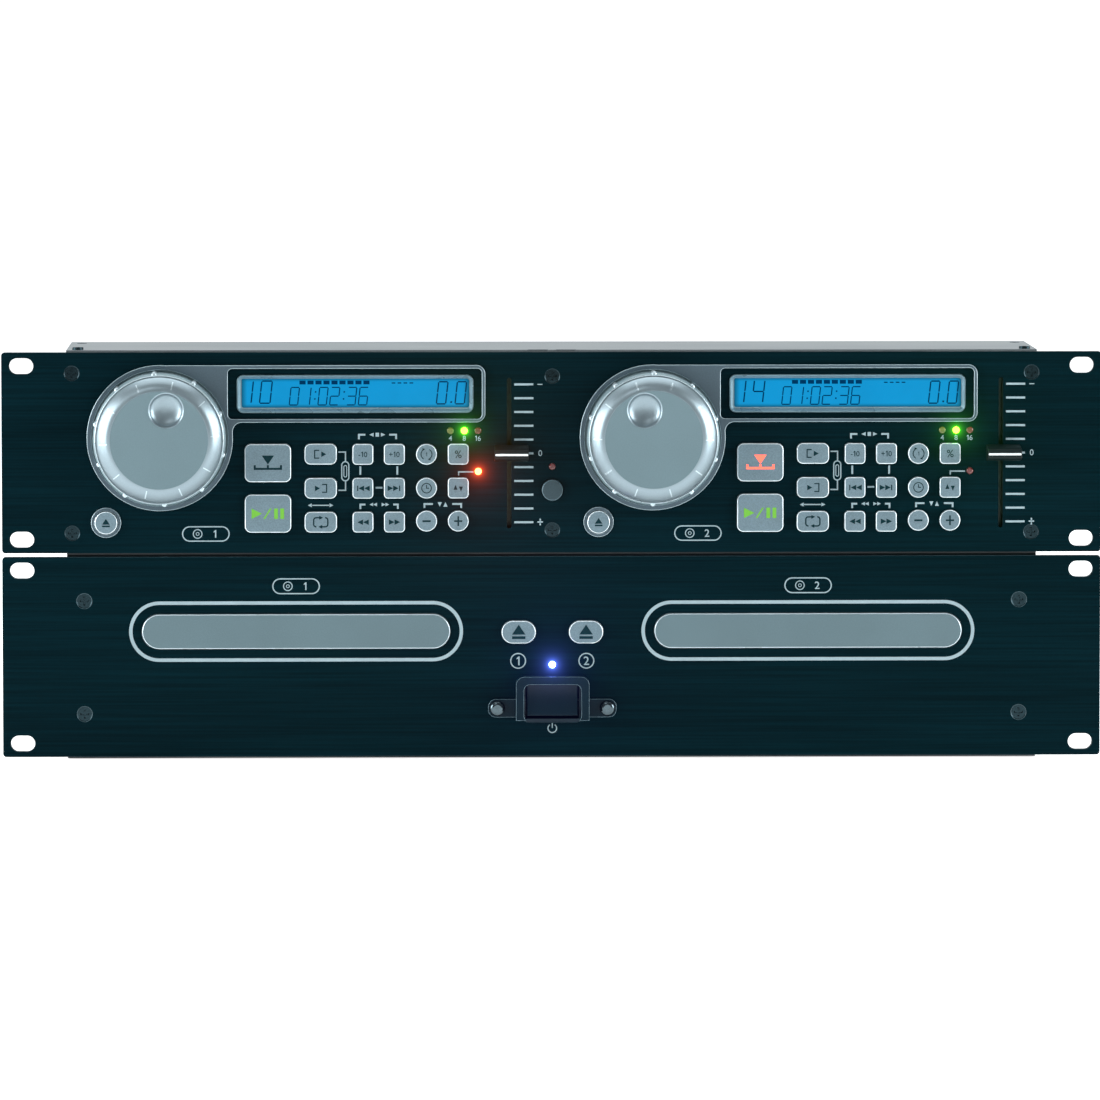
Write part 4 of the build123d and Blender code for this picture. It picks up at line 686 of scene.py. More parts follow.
class JogWheelsOperator(bpy.types.Operator):
    """Jog wheels with a sloped band, tick ridges, a finger dimple, rim nubs and a ribbed skirt"""
    bl_idname = "disc_player.jog_wheels"
    bl_label = "Jog wheels"

    def execute(self, context):
        for deck, offset in DECKS.items():
            self.make_wheel(deck, JOG[0] + offset, JOG[1])
        return {"FINISHED"}

    def make_wheel(self, deck, x, z):
        ribs = sizes().wheel_ribs
        bm = bmesh.new()
        turned(bm, WHEEL_PROFILE, x, z, ribs * 2)
        for vert in bm.verts:
            across = Vector((vert.co.x - x, 0, vert.co.z - z))
            if across.length > 28.97 and -11.5 < vert.co.y < -2.5:
                step = round(math.atan2(across.z, across.x) / (math.pi / ribs))
                if step % 2:
                    vert.co -= across.normalized() * 0.28
        turn = math.radians(JOG_TURN[deck])
        dimple = (x + 13.5 * math.sin(turn), z + 13.5 * math.cos(turn))
        bowl = [(7.85, 19.0), (7.75, 18.99), (7.6, 18.94), (7.45, 18.84), (7.25, 18.66)]
        bowl += [(7.25 * math.cos(a), 18.66 - 3.1 * math.sin(a)) for a in (0.2, 0.4, 0.6, 0.8, 1.0, 1.2, 1.4)]
        turned(bm, bowl + [(0.0, 15.56)], *dimple, 96)

        def open_rims(y):
            return [edge for edge in bm.edges
                    if edge.is_boundary and all(abs(end.co.y - y) < 1e-3 for end in edge.verts)]

        bmesh.ops.triangle_fill(bm, use_beauty=True, use_dissolve=False, edges=open_rims(-19.0),
                                normal=(0, -1, 0))
        bmesh.ops.edgeloop_fill(bm, edges=open_rims(-1.0))
        face_out(bm)
        for face in bm.faces:
            centre = face.calc_center_median()
            reach = math.hypot(centre.x - x, centre.z - z)
            if centre.y < -18.995 and reach < 21.45:
                face.material_index = 3
            # The ribbed skirt and lower faces take the darker skirt colour, a painted shade.
            elif reach > 28.32 or centre.y > -12.9:
                face.material_index = 2
            # The rim ring takes the painted highlight colour.
            elif reach > 27.7:
                face.material_index = 1
        settled = set(bm.faces)
        ticks = sizes().wheel_ticks
        slope = [point for point in WHEEL_PROFILE if 22.5 < point[0] < 26.8]
        for index in range(ticks):
            self.add_tick(bm, x, z, turn + math.tau * index / ticks, slope)
            nub_angle = turn + math.tau * (index + 0.5) / ticks
            rod(bm, x + 28.4 * math.sin(nub_angle), z + 28.4 * math.cos(nub_angle), 1.2, -13.3, -1.8, 20, 0.8)
        rod(bm, x, z, 2.99, -1.5, 10.0, 32)
        # Ticks, nubs and the hub take the painted highlight colour.
        for face in bm.faces:
            if face not in settled:
                face.material_index = 1
        wheel = piece(f"{deck}_jog_wheel_finish", bm, ["wheel_paint", "wheel_edge", "wheel_skirt", "wheel_face"],
                      f"{deck}_jog_wheel", ON_CONTROLLER, [f"{deck}_jog_wheel"], 32)
        for polygon in wheel.data.polygons:
            polygon.use_smooth = polygon.material_index != 3

        self.make_gap_ring(deck, x, z)

    def make_gap_ring(self, deck, x, z):
        """Pale ring under the wheel's skirt, which shows in the gap round it: painted light where the gap lies
        in shade.
        """
        bm = bmesh.new()
        outline(bm, disc(bm, x, z, 29.95, -0.3, 96), 3.0)
        thicken(bm, bm.faces[:], 0.32)
        face_out(bm)
        piece(f"{deck}_wheel_gap_light", bm, ["wheel_skirt"], "housing", ON_CONTROLLER, ())

    def add_tick(self, bm, x, z, angle, profile):
        """Narrow ridge that follows the band's slope."""
        before = set(bm.verts)
        verts = [bm.verts.new((0, -height - 0.10, radius + 0.06)) for radius, height in profile]
        edges = [bm.edges.new(pair) for pair in zip(verts, verts[1:])]
        width = math.radians(1.15)
        bmesh.ops.spin(bm, geom=verts + edges, cent=(0, 0, 0), axis=(0, 1, 0), angle=width, steps=2)
        strip = [vert for vert in bm.verts if vert not in before]
        faces = list({face for vert in strip for face in vert.link_faces})
        thicken(bm, faces, 0.5)
        fresh = [vert for vert in bm.verts if vert not in before]
        bmesh.ops.recalc_face_normals(bm, faces=list({face for vert in fresh for face in vert.link_faces}))
        place = Matrix.Translation((x, 0, z)) @ Matrix.Rotation(angle - width / 2, 4, "Y")
        bmesh.ops.transform(bm, matrix=place, verts=fresh)


def on_rim(face):
    """1 on a cap's rounded front edge, which takes a painted highlight, else 0."""
    return 1 if -0.97 < face.normal.y < -0.08 else 0


def mark_cue(bm, x, z):
    stroke(bm, [(x - 6.2, z - 2.5), (x + 6.2, z - 2.5)], 0.9)
    for dx in (-5.75, 0.0, 5.75):
        flat_rect(bm, x + dx, z - 1.45, 0.9, 1.2)
    triangle(bm, x, z + 1.4, 5.4, 3.9, "down")


def mark_play(bm, x, z):
    triangle(bm, x - 4.9, z, 4.6, 4.6, "right")
    flat_shape(bm, [(x - 2.1, z - 2.3), (x - 1.3, z - 2.3), (x + 1.6, z + 2.3), (x + 0.8, z + 2.3)])
    for dx in (3.5, 6.2):
        flat_rect(bm, x + dx, z, 1.7, 4.6)


def mark_loop_in(bm, x, z):
    stroke(bm, [(x - 0.6, z + 1.7), (x - 2.6, z + 1.7), (x - 2.6, z - 1.7), (x - 0.6, z - 1.7)], 0.5)
    triangle(bm, x + 1.4, z, 2.2, 2.4, "right")


def mark_loop_out(bm, x, z):
    triangle(bm, x - 1.4, z, 2.2, 2.4, "right")
    stroke(bm, [(x + 0.6, z + 1.7), (x + 2.6, z + 1.7), (x + 2.6, z - 1.7), (x + 0.6, z - 1.7)], 0.5)


def mark_reloop(bm, x, z):
    w, h, r = 3.1, 2.0, 1.1
    stroke(bm, [(x - w + r, z + h), (x - 0.5, z + h)], 0.6)
    stroke(bm, [(x + 1.9, z + h), (x + w - r, z + h)], 0.6)
    stroke(bm, [(x + w - r, z - h), (x + 0.5, z - h)], 0.6)
    stroke(bm, [(x - 1.9, z - h), (x - w + r, z - h)], 0.6)
    for side in (-1, 1):
        stroke(bm, [(x + side * w, z - h + r), (x + side * w, z + h - r)], 0.6)
    for cx, cz, start in ((-w + r, h - r, -90), (w - r, h - r, 0), (w - r, -h + r, 90), (-w + r, -h + r, 180)):
        arc(bm, x + cx, z + cz, r, 0.6, start, 90, 8)
    triangle(bm, x + 0.2, z + h, 1.7, 1.7, "right")
    triangle(bm, x - 0.2, z - h, 1.7, 1.7, "left")


def mark_skip(bm, x, z, direction):
    side = 1 if direction == "right" else -1
    for dx in (-1.75, 0.7):
        triangle(bm, x + side * dx, z, 2.45, 2.4, direction)
    flat_rect(bm, x + side * 2.3, z, 0.5, 2.4)


def mark_search(bm, x, z, direction):
    for dx in (-1.2, 1.3):
        triangle(bm, x + dx, z, 2.5, 2.4, direction)


def mark_eject(bm, x, z, width=3.4):
    triangle(bm, x, z + width * 0.18, width, width * 0.74, "up")
    flat_rect(bm, x, z - width * 0.42, width, width * 0.2)


def mark_clock(bm, x, z):
    outline(bm, disc(bm, x, z, 2.3), 0.4)
    stroke(bm, [(x, z + 1.4), (x, z), (x + 1.1, z)], 0.4)


def mark_repeat_one(bm, x, z):
    figures(bm, "1", x, z, 1.7)
    arc(bm, x, z, 2.4, 0.4, 30, 130)
    arc(bm, x, z, 2.4, 0.4, 210, 130)
    triangle(bm, x + 1.2, z - 2.2, 1.1, 1.1, "left")
    triangle(bm, x - 1.2, z + 2.2, 1.1, 1.1, "right")


def mark_pitch(bm, x, z):
    triangle(bm, x - 1.2, z + 0.4, 1.8, 2.2, "up")
    triangle(bm, x + 1.2, z - 0.4, 1.8, 2.2, "down")


def mark_text(bm, x, z, text, height):
    figures(bm, text, x, z, height)


def mark_minus(bm, x, z):
    flat_rect(bm, x, z, 3.6, 0.8)


def mark_plus(bm, x, z):
    flat_rect(bm, x, z, 3.6, 0.7)
    for side in (1, -1):
        flat_rect(bm, x, z + side * 1.25, 0.7, 1.8)


# Keys of one deck, with how each symbol on them is drawn and where.
MARKS = {
    "cue_key": [(mark_cue, -124.7, 39.6)],
    "play_key": [(mark_play, -124.7, 17.4)],
    "loop_in_key": [(mark_loop_in, -101.6, 43.5)],
    "loop_out_key": [(mark_loop_out, -101.6, 28.5)],
    "reloop_key": [(mark_reloop, -101.6, 13.6)],
    "track_keys": [(mark_text, -83.1, 43.4, "-10", 2.4), (mark_text, -69.3, 43.4, "+10", 2.4)],
    "skip_keys": [(mark_skip, -83.1, 28.5, "left"), (mark_skip, -69.3, 28.5, "right")],
    "search_keys": [(mark_search, -83.1, 13.6, "left"), (mark_search, -69.3, 13.6, "right")],
    "percent_key": [(mark_text, -41.3, 43.4, "%", 3.4)],
    "pitch_key": [(mark_pitch, -41.3, 28.5)],
    "single_key": [(mark_repeat_one, -55.2, 43.4)],
    "time_key": [(mark_clock, -55.2, 28.5)],
    "bend_down_key": [(mark_minus, -55.2, 14.0)],
    "bend_up_key": [(mark_plus, -41.3, 14.0)],
    "eject_key": [(mark_eject, -195.7, 13.4)],
}


class KeysOperator(bpy.types.Operator):
    """Painted keys with a painted highlight on their rounded edge"""
    bl_idname = "disc_player.keys"
    bl_label = "Keys"

    def execute(self, context):
        nodes = [f"{deck}_{name}" for deck in DECKS for name in MARKS] + ["open_key_1", "open_key_2"]
        for node in nodes:
            # Faces on a key's rounded edge take the painted highlight colour.
            dressed(node, ["key_paint", "key_rim"], on_rim, node, 40)
        dressed("relay_key", ["relay_paint", "relay_rim"], on_rim, "relay_key", 40)
        return {"FINISHED"}


class KeyMarksOperator(bpy.types.Operator):
    """Symbols printed on the keys, with the lit ones glowing"""
    bl_idname = "disc_player.key_marks"
    bl_label = "Key symbols"

    def execute(self, context):
        red = lit("lit_red_mark", tone(235, 60, 60), 1.5, tone(255, 110, 80))
        green = lit("lit_green_mark", tone(70, 148, 40), 0.2, tone(176, 214, 54))
        for deck, offset in DECKS.items():
            face_of_key = Matrix.Translation((offset * MM, -KEY_OUT * MM, 0)) @ ON_CONTROLLER
            glowing = {"play_key": green, "cue_key": red} if deck == "deck2" else {"play_key": green}
            for key, symbols in MARKS.items():
                bm = bmesh.new()
                for draw, *where in symbols:
                    draw(bm, *where)
                ink = glowing.get(key, "glyph_ink")
                printed(f"{deck}_{key}_mark", bm, ink, f"{deck}_{key}", face_of_key)
        for number, x in (("1", -14.8), ("2", 14.8)):
            bm = bmesh.new()
            mark_eject(bm, x, 54.9, 5.9)
            place = Matrix.Translation((0, -KEY_OUT * MM, 0)) @ ON_PLAYER
            printed(f"open_key_{number}_mark", bm, "glyph_ink", f"open_key_{number}", place)
        return {"FINISHED"}


class FadersOperator(bpy.types.Operator):
    """Pitch fader caps with a pale ridge"""
    bl_idname = "disc_player.faders"
    bl_label = "Pitch faders"

    def execute(self, context):
        for deck, offset in DECKS.items():
            node = f"{deck}_pitch_fader"
            dressed(node, ["fader_moulding"], None, node, round_mm=0.4)
            bm = bmesh.new()
            low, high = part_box(node)
            width = (high.x - low.x) / MM
            round_rect(bm, (high.x + low.x) / 2 / MM, 0, width - 0.6, 0.9, 0.3)
            place = Matrix.Translation((0, low.y - 0.1 * MM, (high.z + low.z) / 2)) @ Matrix.Scale(MM, 4)
            thicken(bm, bm.faces[:], 0.6)
            face_out(bm)
            piece(f"{deck}_fader_line", bm, ["fader_line"], node, place, ())
        return {"FINISHED"}


class LegendsOperator(bpy.types.Operator):
    """Lines, brackets, scales and numbers printed on both panels"""
    bl_idname = "disc_player.legends"
    bl_label = "Panel prints"

    def execute(self, context):
        width = sizes().line_width
        for number, (deck, offset) in enumerate(DECKS.items(), 1):
            bm = bmesh.new()
            self.draw_keypad(bm, width)
            self.draw_scale(bm)
            outline(bm, round_rect(bm, -152.0, 8.4, 20.9, 6.8, 3.4), 0.5)
            self.draw_disc_sign(bm, -155.6, 8.4)
            figures(bm, str(number), -148.0, 8.4, 3.4)
            place = Matrix.Translation((offset * MM, 0, 0)) @ ON_CONTROLLER
            printed(f"{deck}_legend", bm, "legend_ink", "housing", place)
        bm = bmesh.new()
        for number, x in TRAYS.items():
            outline(bm, round_rect(bm, x, TRAY_Z, 146.6, 26.6, 13.3, 0.0, 24), 1.5)
            outline(bm, round_rect(bm, x, TRAY_SIGN_Z, 20.9, 7.0, 3.5), 0.5)
            self.draw_disc_sign(bm, x - 3.6, TRAY_SIGN_Z)
            figures(bm, number, x + 4.0, TRAY_SIGN_Z, 3.4)
            sign = -15.0 if x < 0 else 15.0
            outline(bm, disc(bm, sign, 42.0, 3.5, 0.0, 48), 0.5)
            figures(bm, number, sign, 42.0, 3.9)
        arc(bm, 0, 12.2, 1.9, 0.45, 35, 290)
        flat_rect(bm, 0, 13.4, 0.45, 2.2)
        printed("player_legend", bm, "legend_ink", "housing", ON_PLAYER)
        return {"FINISHED"}

    def draw_disc_sign(self, bm, x, z):
        outline(bm, disc(bm, x, z, 2.1, 0.0, 40), 0.4)
        outline(bm, disc(bm, x, z, 0.8, 0.0, 24), 0.3)

    def draw_keypad(self, bm, width):
        for points in (
            [(-84.8, 49.9), (-84.8, 51.9), (-82.0, 51.9)],
            [(-71.5, 51.9), (-68.5, 51.9), (-68.5, 49.9)],
            [(-84.2, 19.2), (-84.2, 21.2), (-82.0, 21.2)],
            [(-69.8, 21.2), (-67.8, 21.2), (-67.8, 19.2)],
            [(-56.1, 19.6), (-56.1, 21.4), (-52.4, 21.4)],
            [(-43.9, 21.4), (-40.0, 21.4), (-40.0, 19.6)],
            [(-84.2, 38.0), (-84.2, 34.3)],
            [(-68.0, 38.0), (-68.0, 34.3)],
            [(-77.5, 28.6), (-74.5, 28.6)],
        ):
            stroke(bm, points, width)
        for points in (
            [(-93.8, 44.3), (-90.7, 44.3), (-90.7, 40.3)],
            [(-90.7, 31.4), (-90.7, 27.5), (-93.8, 27.5)],
            [(-41.1, 33.9), (-41.1, 35.5), (-34.6, 35.5)],
        ):
            stroke(bm, points, width * 0.7)
        outline(bm, round_rect(bm, -90.8, 35.85, 3.6, 8.9, 1.8), 0.5)
        outline(bm, round_rect(bm, -90.8, 35.85, 1.6, 5.4, 0.8), 0.35)
        for x in (-79.3, -74.2):
            triangle(bm, x, 51.9, 1.9, 1.7, "left" if x < -76.7 else "right")
        flat_rect(bm, -76.75, 51.9, 1.5, 1.7)
        for dx in (-3.4, -1.7):
            triangle(bm, -76.0 + dx, 21.2, 1.6, 1.6, "left")
        for dx in (1.9, 3.6):
            triangle(bm, -76.0 + dx, 21.2, 1.6, 1.6, "right")
        triangle(bm, -49.4, 21.2, 1.8, 2.0, "down")
        triangle(bm, -46.9, 21.2, 1.8, 2.0, "up")
        triangle(bm, -106.4, 20.9, 1.7, 1.7, "left")
        stroke(bm, [(-105.3, 20.9), (-98.0, 20.9)], 0.5)
        triangle(bm, -96.9, 20.9, 1.7, 1.7, "right")
        for text, x in (("4", -44.7), ("8", -38.6), ("16", -32.6)):
            figures(bm, text, x, 50.3, 2.3)

    def draw_scale(self, bm):
        for index in range(11):
            flat_rect(bm, -12.5, 13.3 + 6.06 * index, 8.4, 0.9)
        flat_rect(bm, -5.4, 73.9, 2.2, 0.4)
        flat_rect(bm, -5.3, 13.4, 2.4, 0.6)
        flat_rect(bm, -5.3, 14.4, 0.6, 0.9)
        flat_rect(bm, -5.3, 12.4, 0.6, 0.9)
        figures(bm, "0", -5.3, 43.7, 2.7)


class LampsOperator(bpy.types.Operator):
    """Indicator lamps, lit and unlit"""
    bl_idname = "disc_player.lamps"
    bl_label = "Lamps"

    def execute(self, context):
        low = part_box("controller_front_panel")[0].z
        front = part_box("player_front_panel")[0].y
        lamps = [((0, 37.8), 3)]
        for number, offset in enumerate(DECKS.values()):
            lamps += [((-44.7 + offset, 53.6), 2), ((-38.6 + offset, 53.6), 0), ((-32.6 + offset, 53.6), 3)]
            lamps.append(((-32.5 + offset, 35.7), 1 if number == 0 else 3))

        def pick(face):
            centre = face.calc_center_median()
            if centre.y > front + 0.2 * MM:
                return 5
            if centre.z < low:
                return 4
            x, z = centre.x / MM, (centre.z - low) / MM
            return min(lamps, key=lambda lamp: math.hypot(lamp[0][0] - x, lamp[0][1] - z))[1]

        materials = [
            lit("lamp_green_lit", [0.10, 1.0, 0.01], 22.0),
            lit("lamp_red_lit", [1.0, 0.07, 0.015], 34.0),
            "lamp_olive",
            "lamp_red_dim",
            lit("lamp_blue_lit", [0.10, 0.18, 1.0], 40.0),
            "grey_moulding",
        ]
        dressed("indicator_lamps", materials, pick, smooth=60)
        return {"FINISHED"}


class TraysOperator(bpy.types.Operator):
    """Disc trays with their painted fronts"""
    bl_idname = "disc_player.trays"
    bl_label = "Disc trays"

    def execute(self, context):
        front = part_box("player_front_panel")[0].y
        for number in TRAYS:
            node = f"tray_{number}"

            def pick(face):
                if face.calc_center_median().y > front + 2.7 * MM:
                    return 2
                # The rounded rim of the front takes the painted highlight colour.
                return on_rim(face)

            dressed(node, ["tray_paint", "tray_edge", "tray_moulding"], pick, node, 35)
        return {"FINISHED"}


class SwitchOperator(bpy.types.Operator):
    """Power rocker with its housing and its guard hoop"""
    bl_idname = "disc_player.switch"
    bl_label = "Power switch and guard"

    def execute(self, context):
        dressed("power_rocker", ["rocker_moulding"], None, "power_rocker", round_mm=0.35)
        dressed("switch_housing", ["rocker_moulding"], None, round_mm=0.2)
        bm = bmesh.new()
        loops = [round_rect(bm, 0, 24.05, width, height, radius, -9.0, 10)[0]
                 for width, height, radius in ((32.1, 23.3, 3.6), (25.3, 16.5, 2.8))]
        rims = list({edge for face in loops for edge in face.edges})
        bmesh.ops.delete(bm, geom=loops, context="FACES_ONLY")
        bmesh.ops.bridge_loops(bm, edges=rims)
        bmesh.ops.bisect_plane(bm, geom=bm.verts[:] + bm.edges[:] + bm.faces[:], plane_co=(0, 0, 16.4),
                               plane_no=(0, 0, -1), clear_outer=True)
        thicken(bm, bm.faces[:], 9.0)
        for side in (-1, 1):
            before = set(bm.verts)
            ear = Matrix.Translation((side * 20.6, -0.75, 21.2)) @ Matrix.Diagonal((15.2, 1.5, 8.0, 1))
            bmesh.ops.create_cube(bm, size=1.0, matrix=ear)
            verts = [vert for vert in bm.verts if vert not in before]
            corners = [edge for vert in verts for edge in vert.link_edges
                       if all(abs(end.co.x - side * 28.2) < 1e-3 for end in edge.verts)
                       and abs(edge.verts[0].co.y - edge.verts[1].co.y) > 1]
            bevel(bm, list(set(corners)), "EDGES", 3.4, 6)
        face_out(bm)
        guard = piece("switch_guard_finish", bm, ["guard_coat", "guard_edge"], "housing", ON_PLAYER,
                      ["switch_guard"], 40)
        # The bevels on the guard's edges take the painted highlight colour.
        round_edges(guard, 0.3, 1, 3)
        return {"FINISHED"}


def screw_head(bm, x, z, radius, y, dome=0.0):
    """Round head with a cross recess, its face at y, looking to the front."""
    before = set(bm.verts)
    face = disc(bm, x, z, radius, y, 40)[0]
    thicken(bm, [face], 1.4)
    steps = ((0.25, dome * 0.55), (0.6, dome * 0.3), (0.6, dome * 0.15)) if dome else ((0.25, 0.15),)
    for inset, rise in steps:
        bmesh.ops.inset_region(bm, faces=[face], thickness=inset, depth=rise, use_even_offset=True)
    arm, half = radius * 0.58, radius * 0.13
    for offset in (-arm, -half, half, arm):
        for point, normal in (((x + offset, 0, z), (1, 0, 0)), ((x, 0, z + offset), (0, 0, 1))):
            flat = []
            for item in bm.faces:
                centre = item.calc_center_median()
                near = math.hypot(centre.x - x, centre.z - z) < radius and centre.y < y + 0.5
                if near and abs(item.normal.y) > 0.99:
                    flat.append(item)
            geom = flat + list({edge for item in flat for edge in item.edges})
            geom += list({vert for item in flat for vert in item.verts})
            bmesh.ops.bisect_plane(bm, geom=geom, plane_co=point, plane_no=normal)
            bm.normal_update()
    cross = []
    for item in bm.faces:
        centre = item.calc_center_median()
        dx, dz = abs(centre.x - x), abs(centre.z - z)
        inside = (dx < half and dz < arm) or (dz < half and dx < arm)
        if inside and abs(item.normal.y) > 0.9 and centre.y < y + 0.5:
            cross.append(item)
    if cross:
        result = bmesh.ops.extrude_face_region(bm, geom=cross)
        floor = [item for item in result["geom"] if isinstance(item, bmesh.types.BMVert)]
        bmesh.ops.translate(bm, verts=floor, vec=(0, 0.9, 0))
        bmesh.ops.scale(bm, vec=(0.82, 1, 0.82), space=Matrix.Translation((-x, 0, -z)), verts=floor)
        bmesh.ops.delete(bm, geom=cross, context="FACES_ONLY")
    return [vert for vert in bm.verts if vert not in before]


CONTROLLER_SCREWS = [(-210.5, 79.0), (210.5, 79.0), (-210.5, 8.8), (210.5, 8.8), (0.0, 77.5), (0.0, 9.9)]
PLAYER_SCREWS = [(-205.4, 68.7), (205.4, 68.7), (-205.4, 18.9), (205.4, 18.9)]


class ScrewsOperator(bpy.types.Operator):
    """Countersunk panel screws, dome screws of the guard and pan screws of the lids, with cross recesses"""
    bl_idname = "disc_player.screws"
    bl_label = "Screws"

    def execute(self, context):
        for name, screws, place in (("controller_screws", CONTROLLER_SCREWS, ON_CONTROLLER),
                                    ("player_screws", PLAYER_SCREWS, ON_PLAYER)):
            bm = bmesh.new()
            for x, z in screws:
                screw_head(bm, x, z, 3.3, 0.1)
            face_out(bm)
            piece(name, bm, ["black_zinc"], "housing", place, ["panel_screws"], 25)
        bm = bmesh.new()
        for side in (-1, 1):
            rod(bm, side * 24.2, 21.2, 3.4, -3.5, -1.45, 40, 1.85)
        piece("guard_screws", bm, ["dome_steel"], "housing", ON_PLAYER, (), 60)
        bm = bmesh.new()
        for node, screws in (("controller_top_cover", ((5.0, 0.6), (58.0, 0.0))),
                             ("player_top_cover", ((90.0, 0.6), (238.0, 0.6)))):
            low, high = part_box(node)
            for side in (-1, 1):
                for y, dome in screws:
                    verts = screw_head(bm, 0, 0, 2.5, -1.0, dome) if dome else screw_head(bm, 0, 0, 2.2, -0.1)
                    place = Matrix.Translation((side * (high.x / MM - 5.0), low.y / MM + y, high.z / MM))
                    upright = Matrix.Rotation(math.radians(-90), 4, "X")
                    bmesh.ops.transform(bm, matrix=place @ upright, verts=verts)
        face_out(bm)
        piece("lid_screws", bm, ["black_zinc"], "housing", Matrix.Scale(MM, 4), (), 25)
        return {"FINISHED"}


class RearOperator(bpy.types.Operator):
    """Sockets at the back, with coloured insulators and pins"""
    bl_idname = "disc_player.rear"
    bl_label = "Rear sockets"

    def execute(self, context):
        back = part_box("player_chassis")[1].y / MM
        rca = [(x, z) for x in (60.0, 76.0, 130.0, 146.0) for z in (32.0, 48.0)]
        jacks = [(96.0, 32.0), (166.0, 32.0)]

        def pick(face):
            centre = face.calc_center_median()
            x, y, z = centre.x / MM, centre.y / MM, centre.z / MM
            for px, pz in rca:
                if math.hypot(px - x, pz - z) < 5 and y > back - 0.5:
                    if face.normal.y > 0.5 or math.hypot(px - x, pz - z) < 2.5:
                        return 2 if pz < 40 else 3
                    return 1
            for px, pz in jacks:
                if math.hypot(px - x, pz - z) < 5.6 and y > back - 0.5:
                    return 1
            return 0

        dressed("rear_sockets", ["black_moulding", "turned_steel", "red_moulding", "white_moulding"],
                pick)
        bm = bmesh.new()
        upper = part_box("controller_chassis")[1].y / MM
        upper_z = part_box("controller_front_panel")[0].z / MM + 44.05
        for x, z, face in ((-10.0, 40.0, back), (-80.0, 40.0, back),
                           (-14.0, upper_z, upper), (14.0, upper_z, upper)):
            self.add_pins(bm, x, z, face)
        face_out(bm)
        piece("socket_pins", bm, ["turned_steel"], "housing", Matrix.Scale(MM, 4), (), 40)
        return {"FINISHED"}

    def add_pins(self, bm, x, z, face):
        for index in range(6):
            angle = math.tau * index / 6 + 0.5
            rod(bm, x + 2.9 * math.cos(angle), z + 2.9 * math.sin(angle), 0.45, face - 1.0, face + 0.9, 12)


class MechanismOperator(bpy.types.Operator):
    """Finishes of the boards and of the disc mechanism inside"""
    bl_idname = "disc_player.mechanism"
    bl_label = "Boards and mechanism"

    def execute(self, context):
        finishes = {
            "control_board": "board_green", "player_boards": "board_green", "disc_transports": "grey_moulding",
            "turntable_1": "black_moulding", "turntable_2": "black_moulding",
            "pickup_1": "turned_steel", "pickup_2": "turned_steel",
        }
        for node, material in finishes.items():
            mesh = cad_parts[node].data
            mesh.materials.clear()
            mesh.materials.append(made_of(material))
        return {"FINISHED"}


def aimed(place, aim):
    """Matrix of a camera or light at its place, turned to its aim."""
    turn = (Vector(aim) - Vector(place)).to_track_quat("-Z", "Y")
    return Matrix.Translation(place) @ turn.to_matrix().to_4x4()


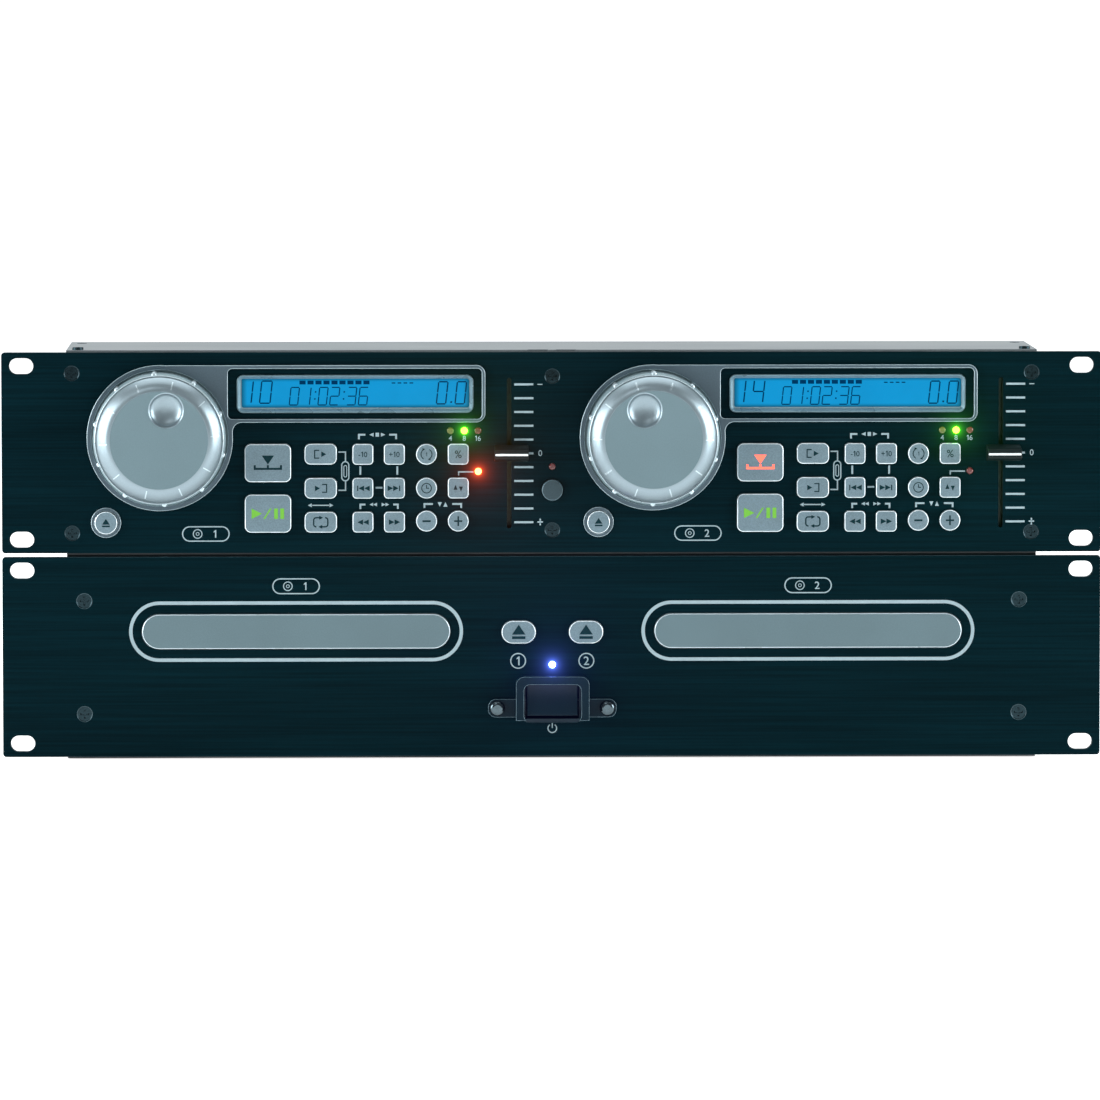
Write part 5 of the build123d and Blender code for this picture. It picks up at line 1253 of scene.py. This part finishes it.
class StageOperator(bpy.types.Operator):
    """Pale floor, soft studio light and the camera"""
    bl_idname = "disc_player.stage"
    bl_label = "Stage"

    def execute(self, context):
        stage = context.scene.console_stage
        bm = bmesh.new()
        bmesh.ops.create_grid(bm, x_segments=1, y_segments=1, size=20.0,
                              matrix=Matrix.Translation((0, 17.9, -0.0003)))
        mesh = bpy.data.meshes.new("floor")
        bm.to_mesh(mesh)
        bm.free()
        floor = bpy.data.objects.new("floor", mesh)
        context.scene.collection.objects.link(floor)
        mesh.materials.append(self.floor_finish())
        self.add_world(context)
        self.add_softbox("left_softbox", (-2.0, -0.7, 0.6), (-0.1, -0.13, 0.12), 1.5, 1.15, stage.side_light)
        self.add_softbox("right_softbox", (2.0, -0.7, 0.6), (0.1, -0.13, 0.12), 1.5, 1.15, stage.side_light)
        self.add_softbox("top_softbox", (0.0, 0.3, 2.2), (0.0, 0.0, 0.1), 2.4, 1.6, stage.top_light)
        self.add_softbox("front_softbox", (-0.9, -2.6, 2.4), (0.0, -0.1, 0.1), 1.2, 0.9, stage.front_light)
        camera = bpy.data.cameras.new("camera")
        camera.lens = stage.lens
        camera.sensor_width = 36
        camera.clip_end = 120
        holder = bpy.data.objects.new("camera", camera)
        context.scene.collection.objects.link(holder)
        holder.matrix_world = aimed(stage.camera, stage.aim)
        context.scene.camera = holder
        context.scene.view_settings.view_transform = "Standard"
        self.add_bloom(context.scene)
        return {"FINISHED"}

    def add_bloom(self, scene):
        """Soft light round the lit lamps, as a lens gives."""
        scene.use_nodes = True
        tree = scene.node_tree
        tree.nodes.clear()
        layers = add_node(tree, "CompositorNodeRLayers", {})
        inputs = {"Threshold": 2.5, "Size": 0.55, "Strength": 1.0, "Image": layers.outputs["Image"]}
        glare = add_node(tree, "CompositorNodeGlare", inputs, glare_type="BLOOM", quality="HIGH")
        add_node(tree, "CompositorNodeComposite", {"Image": glare.outputs["Image"]})

    def floor_finish(self):
        material = finish("pale_floor", [0.88, 0.88, 0.88], 0.7, 0.0, 60, 0.01, 2, 0.01, specular=0.1)
        shader = material.node_tree.nodes["Principled BSDF"]
        shader.inputs["Emission Color"].default_value = (1, 1, 1, 1)
        shader.inputs["Emission Strength"].default_value = 0.7
        return material

    def add_softbox(self, name, place, aim, width, height, power):
        light = bpy.data.lights.new(name, "AREA")
        light.shape = "RECTANGLE"
        light.size = width
        light.size_y = height
        light.energy = power
        holder = bpy.data.objects.new(name, light)
        holder.visible_camera = False
        bpy.context.scene.collection.objects.link(holder)
        holder.matrix_world = aimed(place, aim)

    def add_world(self, context):
        world = bpy.data.worlds.new("studio")
        context.scene.world = world
        world.use_nodes = True
        tree = world.node_tree
        tree.nodes.clear()
        place = add_node(tree, "ShaderNodeTexCoord", {})
        parts = add_node(tree, "ShaderNodeSeparateXYZ", {"Vector": place.outputs["Generated"]})
        inputs = {"From Min": -0.2, "From Max": 0.7, "To Min": 0.2, "To Max": 0.95, "Value": parts.outputs["Y"]}
        ramp = add_node(tree, "ShaderNodeMapRange", inputs)
        inputs = {"Color": (0.93, 0.98, 1.0, 1), "Strength": ramp.outputs["Result"]}
        room = add_node(tree, "ShaderNodeBackground", inputs)
        backdrop = add_node(tree, "ShaderNodeBackground", {"Color": (1, 1, 1, 1)})
        path = add_node(tree, "ShaderNodeLightPath", {})
        inputs = {0: path.outputs["Is Camera Ray"], 1: room.outputs[0], 2: backdrop.outputs[0]}
        mix = add_node(tree, "ShaderNodeMixShader", inputs)
        add_node(tree, "ShaderNodeOutputWorld", {"Surface": mix.outputs[0]})


OPERATORS = [
    StageOperator, PanelsOperator, CasesOperator, BezelsOperator, DisplaysOperator, JogWheelsOperator,
    KeysOperator, KeyMarksOperator, FadersOperator, LegendsOperator, LampsOperator, TraysOperator,
    SwitchOperator, ScrewsOperator, RearOperator, MechanismOperator,
]


class DiscPlayerPanel(bpy.types.Panel):
    """Lists the operators that dress the disc player"""
    bl_idname = "VIEW3D_PT_disc_player"
    bl_label = "Disc player"
    bl_space_type = "VIEW_3D"
    bl_region_type = "UI"
    bl_category = "Disc player"

    def draw(self, context):
        for operator in OPERATORS:
            self.layout.operator(operator.bl_idname)


CLASSES = [ConsoleColours, ConsoleSizes, StageSettings, *OPERATORS, DiscPlayerPanel]


def register():
    for item in CLASSES:
        bpy.utils.register_class(item)
    bpy.types.Scene.console_colours = PointerProperty(type=ConsoleColours)
    bpy.types.Scene.console_sizes = PointerProperty(type=ConsoleSizes)
    bpy.types.Scene.console_stage = PointerProperty(type=StageSettings)


def unregister():
    del bpy.types.Scene.console_stage
    del bpy.types.Scene.console_sizes
    del bpy.types.Scene.console_colours
    for item in reversed(CLASSES):
        bpy.utils.unregister_class(item)


def main():
    register()
    for operator in OPERATORS:
        group, name = operator.bl_idname.split(".")
        getattr(getattr(bpy.ops, group), name)()


if __name__ == "__main__":
    main()
